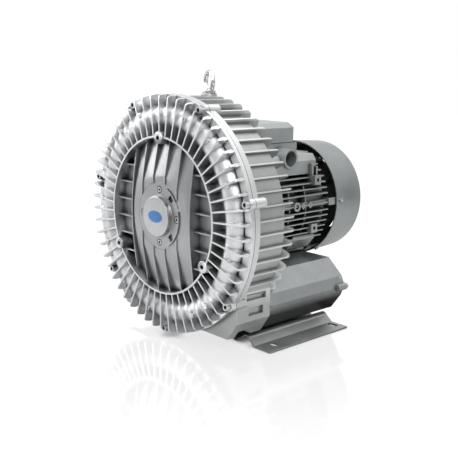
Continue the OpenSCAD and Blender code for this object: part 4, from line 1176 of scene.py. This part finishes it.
@dataclass
class BearingCap:
    """Cap in the middle of the dish, flush with the raised strip, and its bare oval plate.

    Attributes:
        seat: Station of the cap's seat.
        dome_r: Radius of the dome.
        dome_outline: Radius beyond the dome's, and height over the seat, of the dome's sections.
        rim_r: Radius of the flange.
        rim_outline: Radius beyond the flange's, and height over the seat, of the flange's sections.
        bore_r: Radius of the bore.
        bore_depth: Its depth.
        screw_circle: Radius of the circle of screws.
        pocket_angles: Angles of the pockets.
        arc_spans: First and last angle of the raised arcs.
        badge_size: Width and height of the oval plate.
        badge_outline: Share of the radius, and height over the dome's face, of the plate's sections.
    """

    seat: float = -29.1
    dome_r: float = 37.0
    dome_outline: tuple[Pair, ...] = ((-2.2, 21.0), (-0.6, 20.4), (0.0, 18.8), (0.5, 12.9),
                                                     (1.3, 11.3), (3.2, 10.8))
    rim_r: float = 61.85
    rim_outline: tuple[Pair, ...] = ((-0.5, 10.8), (0.0, 10.2), (0.0, 1.5), (-3.85, 0.0))
    bore_r: float = 26.0
    bore_depth: float = 17.0
    screw_circle: float = 49.0
    pocket_angles: tuple[float, ...] = (47.0, -47.0)
    arc_spans: tuple[Pair, ...] = ((22.0, 66.0), (-62.0, 16.0))
    badge_size: Pair = (40.0, 21.5)
    badge_outline: tuple[Pair, ...] = ((1.0, -0.2), (1.0, 0.35), (0.94, 0.55), (0.6, 0.7),
                                                      (0.2, 0.75))

    def body(self) -> Piece:
        """Dome and flange, with pockets and holes for the screws."""
        seat = self.seat
        outside = [(self.dome_r + more, seat - up) for more, up in self.dome_outline]
        outside += [(self.rim_r + more, seat - up) for more, up in self.rim_outline]
        cap = turned(outside + [(self.bore_r, seat), (self.bore_r, seat - self.bore_depth)], closed=False)
        tools = []
        for angle in (0.0, 90.0, 180.0, 270.0):
            head = rod(6.8, seat - 13.0, seat - 5.0, self.screw_circle)
            hole = rod(3.2, seat - 8.0, seat + 1.0, self.screw_circle, sides=32)
            tools += [turn_about_shaft(head, angle), turn_about_shaft(hole, angle)]
        for angle in self.pocket_angles:
            tools.append(turn_about_shaft(bar((43.0, seat - 13.0, -6.0), (55.0, seat - 6.5, 6.0)), angle))
        cut(cap, *tools)
        round_edges(cap, 0.6)
        return cap

    def rim_arcs(self) -> Piece:
        """Raised arcs on the flange, beside the screws."""
        stations = (self.seat - 14.0, self.seat - 10.0)
        whole = joined(*[arc_bar((56.0, 58.4), stations, angles) for angles in self.arc_spans])
        round_edges(whole, 0.5)
        return whole

    def badge(self) -> Piece:
        """Bare oval plate, slightly domed."""
        face = self.seat - self.dome_outline[0][1]
        plate = turned([(share, face - up) for share, up in self.badge_outline], closed=False, sides=64)
        width, height = self.badge_size
        place = Matrix.Translation((0.0, 0.0, AXIS_Z))
        plate.data.transform(place @ Matrix.Diagonal((width / 2, 1.0, height / 2, 1.0)) @ place.inverted())
        return plate

    def build(self, shop: Workshop) -> None:
        """Make the cap, its arcs and the plate."""
        shop.hand_out(self.body(), "bearing_cap_casting", Slot.COVER, ROOT, "bearing_cap")
        shop.hand_out(self.rim_arcs(), "cap_arcs", Slot.COVER)
        shop.hand_out(self.badge(), "oval_plate", Slot.BADGE, ROOT, "cap_badge")


@dataclass
class MotorFrame:
    """Finned motor barrel with pads, bosses, webs and ribs for the tie bolts.

    Attributes:
        front: Station of the front flange.
        rear: Station of the rear face.
        bore: Radius of the bore.
        barrel: Radius of the barrel.
        root: How deep the fins reach into the barrel.
        flange_r: Radius of the front flange.
        flange_t: Its thickness.
        over_fins: Radius over the fins.
        fin_heights: Heights of the level fins above the shaft.
        short_fins: Heights of the level fins behind the terminal box.
        short_length: Length of those fins.
        low_fins: Distances of the upright fins under the barrel from the shaft's plane.
        fin_half: Half of a fin's thickness.
        tie_circle: Radius of the circle of tie bolts.
        tie_angles: Angles of the tie bolts.
        pads: Station and height of the square pads.
        bosses: Stations of the small four-sided bosses.
        big_boss: Station of the boss with the large hole.
        webs: Stations of the webs between the level fins.
        fingers: Station and height of the fingers above the upper pad.
        lobe_angle: Angle of the smooth lobe low on the side.
    """

    front: float = 92.0
    rear: float = 300.0
    bore: float = 87.6
    barrel: float = 97.0
    root: float = 3.0
    flange_r: float = 113.0
    flange_t: float = 10.0
    over_fins: float = 118.0
    fin_heights: tuple[float, ...] = (-62.5, -51.5, -40.5, -29.5, -18.5, -7.5, 25.5, 36.5, 47.5, 58.5)
    short_fins: tuple[float, ...] = (69.5, 80.5, 91.5, 102.5)
    short_length: float = 60.0
    low_fins: tuple[float, ...] = (0.0, 11.0, 22.0, 33.0, 44.0, 55.0)
    fin_half: float = 1.3
    tie_circle: float = 106.0
    tie_angles: tuple[float, ...] = (3.4, 176.6, -60.0, -120.0)
    pads: tuple[Pair, ...] = ((264.0, 54.0), (258.0, -42.0))
    bosses: tuple[float, ...] = (166.0, 222.0, 243.0)
    big_boss: float = 204.0
    webs: tuple[float, ...] = (188.0, 234.0)
    fingers: tuple[Pair, ...] = ((255.0, 86.0), (267.0, 80.0))
    lobe_angle: float = -39.0

    @property
    def fin_front(self) -> float:
        """Station at which fins and ribs start, inside the flange."""
        return self.front + self.flange_t - 2.0

    def reach(self, height: float, radius: float) -> float:
        """Distance from the shaft's plane to a circle about the shaft, at a height."""
        return math.sqrt(radius * radius - height * height)

    def shell(self) -> Piece:
        """Barrel and front flange."""
        flange_end = self.front + self.flange_t
        return turned([(self.bore, self.front), (self.flange_r, self.front), (self.flange_r, flange_end),
                       (self.barrel + 2.0, flange_end), (self.barrel, flange_end + 2.0),
                       (self.barrel, self.rear), (self.bore, self.rear)])

    def level_fin(self, inner: float, edge: float, start: float, height: float) -> Piece:
        """Level fin of the right side, which meets the circle over the fins at the height of its edge."""
        outer = self.reach(edge, self.over_fins) - 0.4
        return bar((inner, start, height - self.fin_half), (outer, self.rear - 2.0, height + self.fin_half))

    def right_fins(self) -> list[Piece]:
        """Level fins of the right side."""
        foot = self.barrel - self.root
        fins = []
        for height in self.fin_heights:
            edge = max(abs(height) - self.fin_half, 0.0)
            fins.append(self.level_fin(self.reach(height, foot), edge, self.fin_front, height))
        for height in self.short_fins:
            inner = self.reach(height, foot) if height < self.barrel - 4.0 else 0.0
            fins.append(self.level_fin(inner, height, self.rear - self.short_length, height))
        return fins

    def low_fin_set(self) -> list[Piece]:
        """Upright fins under the barrel, right side and middle."""
        fins = []
        for x in self.low_fins:
            bottom = -self.reach(x, self.over_fins) if x < 24.0 else -101.0
            top = -self.reach(x, self.barrel - self.root)
            if top - bottom > 2.0:
                fins.append(bar((x - self.fin_half, self.fin_front, bottom),
                                (x + self.fin_half, self.rear - 2.0, top)))
        return fins

    def right_pads(self) -> list[Piece]:
        """Square pads of the right side, with their holes."""
        pads = []
        for station, height in self.pads:
            pad = bar((80.0, station - 9.0, height - 9.0), (self.over_fins - 1.0, station + 9.0, height + 9.0))
            cut(pad, side_rod(3.4, self.over_fins - 15.0, self.over_fins + 2.0, station, height))
            pads.append(pad)
        return pads

    def boss_row(self) -> list[Piece]:
        """Thin rib over the side tie bolt, with its row of bosses."""
        height = self.tie_circle * math.sin(math.radians(self.tie_angles[0]))
        row = [bar((100.0, self.fin_front, height - 1.3),
                   (self.over_fins - 1.0, self.rear - 2.0, height + 1.3))]
        for station in self.bosses:
            boss = side_rod(6.4, 100.0, self.over_fins + 0.2, station, height, sides=4)
            cut(boss, side_rod(1.8, self.over_fins - 8.0, self.over_fins + 2.0, station, height, sides=16))
            row.append(boss)
        big = side_rod(9.0, 100.0, self.over_fins + 1.0, self.big_boss, height)
        cut(big, side_rod(4.4, self.over_fins - 12.0, self.over_fins + 2.0, self.big_boss, height))
        return row + [big]

    def right_extras(self) -> list[Piece]:
        """Webs across the level fins, two fingers above the upper pad, and the lobe."""
        webs = [arc_bar((94.0, 112.0), (station, station + 3.0), (-27.4, 25.0)) for station in self.webs]
        fingers = [bar((92.0, station, 62.0), (108.0, station + 5.0, top)) for station, top in self.fingers]
        lobe = bar((84.0, self.front + 122.0, -19.0), (120.0, self.front + 190.0, 19.0))
        round_edges(lobe, 8.0, 5)
        return webs + fingers + [turn_about_shaft(lobe, self.lobe_angle)]

    def build(self, shop: Workshop) -> None:
        """Make the frame as one piece."""
        side = joined(*self.right_fins(), *self.right_pads(), *self.boss_row(), *self.right_extras())
        low = self.low_fin_set()
        ties = [turn_about_shaft(bar((94.0, self.fin_front, -5.0), (112.0, self.rear, 5.0)), angle)
                for angle in self.tie_angles]
        whole = joined(self.shell(), side, mirrored(side), *low, *[mirrored(fin) for fin in low[1:]], *ties)
        round_edges(whole, 0.6)
        shop.hand_out(whole, "motor_frame_casting", Slot.MOTOR, ROOT, "motor_frame")


@dataclass
class CoolingFan:
    """Two-sided plastic fan on the shaft's rear end, and a dark ring inside the cowl that stands in for the shade
    there.

    Attributes:
        front: Station of the hub's front face.
        hub_r: Radius of the hub.
        hub_length: Length of the hub.
        bore: Radius of the bore.
        tip_r: Radius over the blades.
        disc: Station of the disc's front face at the hub.
        disc_t: Thickness of the disc.
        dish: How much further back the disc's rim stands.
        blade_count: Number of blades.
        ring_r: Inner and outer radius of the dark ring that stands in for the shade inside the cowl.
        shade_ring_stations: Its first and last station.
    """

    front: float = 328.0
    hub_r: float = 23.0
    hub_length: float = 24.0
    bore: float = 12.05
    tip_r: float = 91.8
    disc: float = 344.0
    disc_t: float = 2.5
    dish: float = 15.2
    blade_count: int = 12
    ring_r: Pair = (80.0, 113.5)
    shade_ring_stations: Pair = (404.5, 406.0)

    def build(self, shop: Workshop) -> None:
        """Make the fan as one piece, and the dark ring that stands in for shade."""
        rim, hub_end = self.disc + self.dish, self.front + self.hub_length
        hub = turned([(self.bore, self.front), (self.hub_r, self.front), (self.hub_r, self.disc),
                      (self.tip_r, rim), (self.tip_r, rim + self.disc_t), (self.hub_r, self.disc + self.disc_t),
                      (self.hub_r, hub_end), (self.bore, hub_end)])
        blades = []
        for index in range(self.blade_count):
            blade = bar((self.hub_r - 1.0, self.front + 6.0, -1.2), (self.tip_r, self.front + 34.0, 1.2))
            blades.append(turn_about_shaft(blade, index * 360.0 / self.blade_count))
        whole = joined(hub, *blades)
        round_edges(whole, 0.4)
        shop.hand_out(whole, "fan_moulding", Slot.FAN, ROTOR, "cooling_fan")
        # dark ring where the cowl's inside has only shade, so that no white shows through it
        (inner, outer), (first, last) = self.ring_r, self.shade_ring_stations
        shade_ring = turned([(inner, first), (outer, first), (outer, last), (inner, last)])
        shop.hand_out(shade_ring, "cowl_shade_ring", Slot.FAN)


@dataclass
class EyeBolt:
    """Forged lifting eye with its collar.

    Attributes:
        station: Station of its shank.
        seat: Height of its seat above the shaft.
        outer: Outer radius of the ring.
        thick: Thickness of the ring.
        turn: Turn about its own axis, in degrees.
        collar_r: Radius of the collar.
        collar_h: Height of the collar.
        neck_r: Radius of the neck.
        shank_r: Radius of the shank.
        shank_length: Length of the shank.
        voxel: Size of the grid that grows the forms together.
    """

    station: float = 78.0
    seat: float = 219.1
    outer: float = 22.4
    thick: float = 8.8
    turn: float = -20.0
    collar_r: float = 12.5
    collar_h: float = 8.0
    neck_r: float = 8.0
    shank_r: float = 5.0
    shank_length: float = 24.0
    voxel: float = 0.55

    def upright(self, radius: float, low: float, high: float) -> Piece:
        """Upright cylinder on the bolt's own axis, its heights counted from the seat."""
        return cylinder(radius, high - low, (0.0, 0.0, (low + high) / 2 * MM), 32)

    def forged(self) -> Piece:
        """Ring, neck and collar grown together."""
        clear_selection()
        half = self.thick / 2
        bpy.ops.mesh.primitive_torus_add(major_radius=(self.outer - half) * MM, minor_radius=half * MM,
                                         major_segments=64, minor_segments=24,
                                         location=(0.0, 0.0, self.outer * MM),
                                         rotation=(math.radians(90), 0.0, 0.0))
        ring = settle()
        whole = joined(ring, self.upright(self.collar_r, 0.3, self.collar_h - 1.5),
                       self.upright(self.neck_r, 0.5, self.collar_h + 1.5))
        remesh = whole.modifiers.new("grown", "REMESH")
        remesh.mode = "VOXEL"
        remesh.voxel_size = self.voxel * MM
        smooth = whole.modifiers.new("worked", "SMOOTH")
        smooth.factor = 0.5
        smooth.iterations = 8
        apply_all(whole)
        return whole

    def build(self, shop: Workshop) -> None:
        """Make the eye bolt."""
        whole = joined(self.forged(), self.upright(self.shank_r, -self.shank_length, 2.0))
        place = Matrix.Translation((0.0, mesh_y(self.station), mesh_z(self.seat)))
        whole.data.transform(place @ Matrix.Rotation(math.radians(self.turn), 4, "Z"))
        shop.hand_out(whole, "forged_eye", Slot.EYE, ROOT, "eye_bolt", smooth=60.0)


@dataclass
class Machine:
    """The whole blower: modelled pieces, and packed forms with rounded edges.

    Attributes:
        shop: The workshop.
    """

    shop: Workshop

    def build_rounded(self) -> None:
        """Round the edges of the pieces that keep their packed form."""
        slots = {part["node"]: Slot(part["material_slot"]) for part in frame["record"]["subparts"]}
        groups = frame["record"]["behaviour"]["bodies"]
        bodies = {node: body for body, nodes in groups.items() for node in nodes}
        for node, rounding in ROUNDED.items():
            rounding.build(self.shop, node, slots[node], bodies[node])

    def build(self) -> None:
        """Make every piece."""
        for assembly in (FrontCover(), RearCasing(), BearingCap(), MotorFrame(), CoolingFan(), EyeBolt()):
            assembly.build(self.shop)
        self.build_rounded()
        log.info("%d pieces made", self.shop.count)


@dataclass(frozen=True)
class PhotoCamera:
    """Camera of the photograph.

    Attributes:
        place: Position of the lens.
        azimuth: Turn from the view along +Y towards +X, in degrees.
        fall: Angle below the horizontal, in degrees.
        roll: Turn about the line of sight, in degrees.
        focal: Focal length in pixels of the photograph.
        photo_width: Width of the photograph in pixels.
        sensor: Width of the sensor.
    """

    place: Point = (1.0945, -1.0708, 0.4972)
    azimuth: float = 46.77
    fall: float = 11.70
    roll: float = 1.0
    focal: float = 770.0
    photo_width: float = 458.0
    sensor: float = 36.0

    def build(self) -> None:
        """Make the camera and set it as the scene's camera."""
        a, p, t = (math.radians(v) for v in (self.azimuth, self.fall, self.roll))
        ahead = Vector((-math.sin(a) * math.cos(p), math.cos(a) * math.cos(p), -math.sin(p)))
        level = Vector((math.cos(a), math.sin(a), 0.0))
        up = level.cross(ahead)
        right = level * math.cos(t) + up * math.sin(t)
        top = up * math.cos(t) - level * math.sin(t)
        data = bpy.data.cameras.new("photo_camera")
        data.sensor_width = self.sensor
        data.lens = self.focal * self.sensor / self.photo_width
        data.clip_end = 50.0
        camera = bpy.data.objects.new("photo_camera", data)
        bpy.context.scene.collection.objects.link(camera)
        turn = Matrix((right, top, -ahead)).transposed()
        camera.matrix_world = Matrix.Translation(self.place) @ turn.to_4x4()
        bpy.context.scene.camera = camera


@dataclass(frozen=True)
class Lamp:
    """A soft rectangular lamp that looks at the machine.

    Attributes:
        name: Name of the lamp.
        place: Position of the lamp.
        size: Width and height of the lamp.
        watts: Power of the lamp.
    """

    name: str
    place: Point
    size: Pair
    watts: float

    def build(self, target: Vector) -> None:
        """Make the lamp and turn it to a point.

        Args:
            target: The point it looks at.
        """
        data = bpy.data.lights.new(self.name, "AREA")
        data.shape = "RECTANGLE"
        data.size, data.size_y = self.size
        data.energy = self.watts
        lamp = bpy.data.objects.new(self.name, data)
        bpy.context.scene.collection.objects.link(lamp)
        lamp.location = self.place
        lamp.rotation_euler = (Vector(self.place) - target).to_track_quat("Z", "Y").to_euler()


@dataclass
class Studio:
    """Pale floor with painted shadows, white surroundings and soft lamps.

    Attributes:
        floor_size: Side of the floor.
        floor_drop: How far the floor lies below the machine's feet.
        floor_tone: Grey of the floor in the lamps' light.
        floor_glow: Share of white that the camera sees on the floor without light.
        mirror_share: Share of the floor's mirror image under the machine.
        fade: Distances from the origin over which glow and mirror image fade.
        contact_shadow_reach: Reach of the painted shadow where something stands on the floor.
        painted_shadow_centre: Middle of the painted shadow on the floor under the machine, whose light the
            machine's parts get.
        painted_shadow_radii: Distances from it over which the painted shadow fades to pale.
        painted_shadow_tones: Grey of the floor at those distances.
        world_level: Strength of the surroundings' light on rough surfaces.
        glossy_low: Level of the surroundings near the horizon, as mirrored by the machine.
        glossy_high: Their level overhead.
        behind: X and Y of the direction, away from the camera, in which mirrored surroundings are white.
        target: The point that the lamps look at.
        lamps: The lamps.
    """

    floor_size: float = 14.0
    floor_drop: float = 0.0005
    floor_tone: float = 0.12
    floor_glow: float = 1.05
    mirror_share: float = 0.27
    fade: Pair = (0.35, 0.9)
    contact_shadow_reach: float = 0.016
    painted_shadow_centre: Point = (0.0, 0.08, 0.0)
    painted_shadow_radii: Pair = (0.14, 0.30)
    painted_shadow_tones: Pair = (0.06, 0.85)
    world_level: float = 0.38
    glossy_low: float = 0.42
    glossy_high: float = 1.25
    behind: Pair = (-0.73, 0.68)
    target: Point = (0.0, 0.0, 0.23)
    lamps: tuple[Lamp, ...] = (
        Lamp("key_lamp", (1.9, -1.6, 2.2), (1.4, 1.4), 55.0),
        Lamp("side_lamp", (-2.2, -1.4, 1.3), (1.2, 1.8), 30.0),
        Lamp("top_lamp", (0.2, 0.4, 2.6), (1.6, 1.6), 30.0),
    )

    def build_world(self) -> None:
        """White to the camera and in reflections, a plain level elsewhere."""
        world = bpy.data.worlds.new("studio")
        world.use_nodes = True
        bpy.context.scene.world = world
        sh = Shader(world.node_tree)
        path = sh.node("ShaderNodeLightPath")
        seen = sh.math("ADD", path.outputs["Is Camera Ray"], path.outputs["Is Transmission Ray"], clamp=True)
        direction = sh.node("ShaderNodeTexCoord").outputs["Generated"]
        x, y, z = sh.node("ShaderNodeSeparateXYZ", Vector=direction).outputs
        behind = sh.math("ADD", *(sh.math("MULTIPLY", axis, way) for axis, way in zip((x, y), self.behind)))
        sky = sh.math("MAXIMUM", sh.span(z, -0.05, 0.75, self.glossy_low, self.glossy_high),
                      sh.span(behind, 0.45, 0.75, 0.0, 1.0))
        mirrored_level = sh.node("ShaderNodeMix", Factor=path.outputs["Is Glossy Ray"],
                                 A=self.world_level, B=sky)
        strength = sh.node("ShaderNodeMix", Factor=seen, A=mirrored_level.outputs[0], B=1.0)
        background = world.node_tree.nodes["Background"]
        sh.feed(background, "Color", (1.0, 1.0, 1.0))
        sh.feed(background, "Strength", strength.outputs[0])

    def floor_seen(self, sh: Shader, plain: Node) -> Node:
        """Floor as the camera sees it: white, with painted shadows where things stand on it, and a faint mirror
        image.

        Args:
            sh: Builder of the floor's nodes.
            plain: The floor's main shader.

        Returns:
            The last node.
        """
        sh.feed(plain, "Base Color", (self.floor_tone, self.floor_tone, self.floor_tone))
        sh.feed(plain, "Roughness", 0.9)
        sh.feed(plain, "Specular IOR Level", 0.0)
        away = sh.operate("ShaderNodeVectorMath", "LENGTH", sh.place()).outputs["Value"]
        # painted shadow where things stand: the white glow is darkened by ambient occlusion
        around = sh.node("ShaderNodeAmbientOcclusion", Distance=self.contact_shadow_reach)
        around.samples = 16
        white = sh.math("MULTIPLY", sh.span(away, *self.fade, self.floor_glow, 1.0), around.outputs["AO"])
        add = sh.node("ShaderNodeAddShader")
        sh.feed(add, 0, plain.outputs[0])
        sh.feed(add, 1, sh.node("ShaderNodeEmission", Strength=white).outputs[0])
        seen = sh.node("ShaderNodeMixShader", Fac=sh.span(away, *self.fade, self.mirror_share, 0.0))
        sh.feed(seen, 1, add.outputs[0])
        sh.feed(seen, 2, sh.node("ShaderNodeBsdfGlossy", Roughness=0.08).outputs[0])
        return seen

    def build_floor(self) -> None:
        """Floor that stays white to the camera, with a painted shadow under the machine in the light that it gives
        back to the machine.
        """
        clear_selection()
        bpy.ops.mesh.primitive_plane_add(size=self.floor_size, location=(0.0, 0.0, -self.floor_drop))
        floor = bpy.context.object
        floor.name = "studio_floor"
        material, sh, plain = new_material("studio_floor")
        # painted shadow under the machine, seen only by rays other than camera rays
        under = sh.operate("ShaderNodeVectorMath", "DISTANCE", sh.place(), self.painted_shadow_centre)
        level = sh.span(under.outputs["Value"], *self.painted_shadow_radii, *self.painted_shadow_tones)
        shadowed_floor = sh.node("ShaderNodeBsdfDiffuse", Color=sh.grey(level))
        choose = sh.node("ShaderNodeMixShader", Fac=sh.node("ShaderNodeLightPath").outputs["Is Camera Ray"])
        sh.feed(choose, 1, shadowed_floor.outputs[0])
        sh.feed(choose, 2, self.floor_seen(sh, plain).outputs[0])
        sh.feed(material.node_tree.nodes["Material Output"], "Surface", choose.outputs[0])
        floor.data.materials.append(material)

    def build(self) -> None:
        """Make the surroundings, the floor and the lamps."""
        self.build_world()
        self.build_floor()
        for lamp in self.lamps:
            lamp.build(Vector(self.target))
        bpy.context.scene.view_settings.view_transform = "Standard"


def main() -> None:
    """Build the camera, the studio and the machine's looks."""
    logging.basicConfig(level=logging.INFO, format="%(name)s: %(message)s")
    PhotoCamera().build()
    Studio().build()
    wardrobe = Wardrobe()
    wardrobe.build()
    wardrobe.dress_nodes()
    Machine(Workshop(wardrobe)).build()


if __name__ == "__main__":
    main()
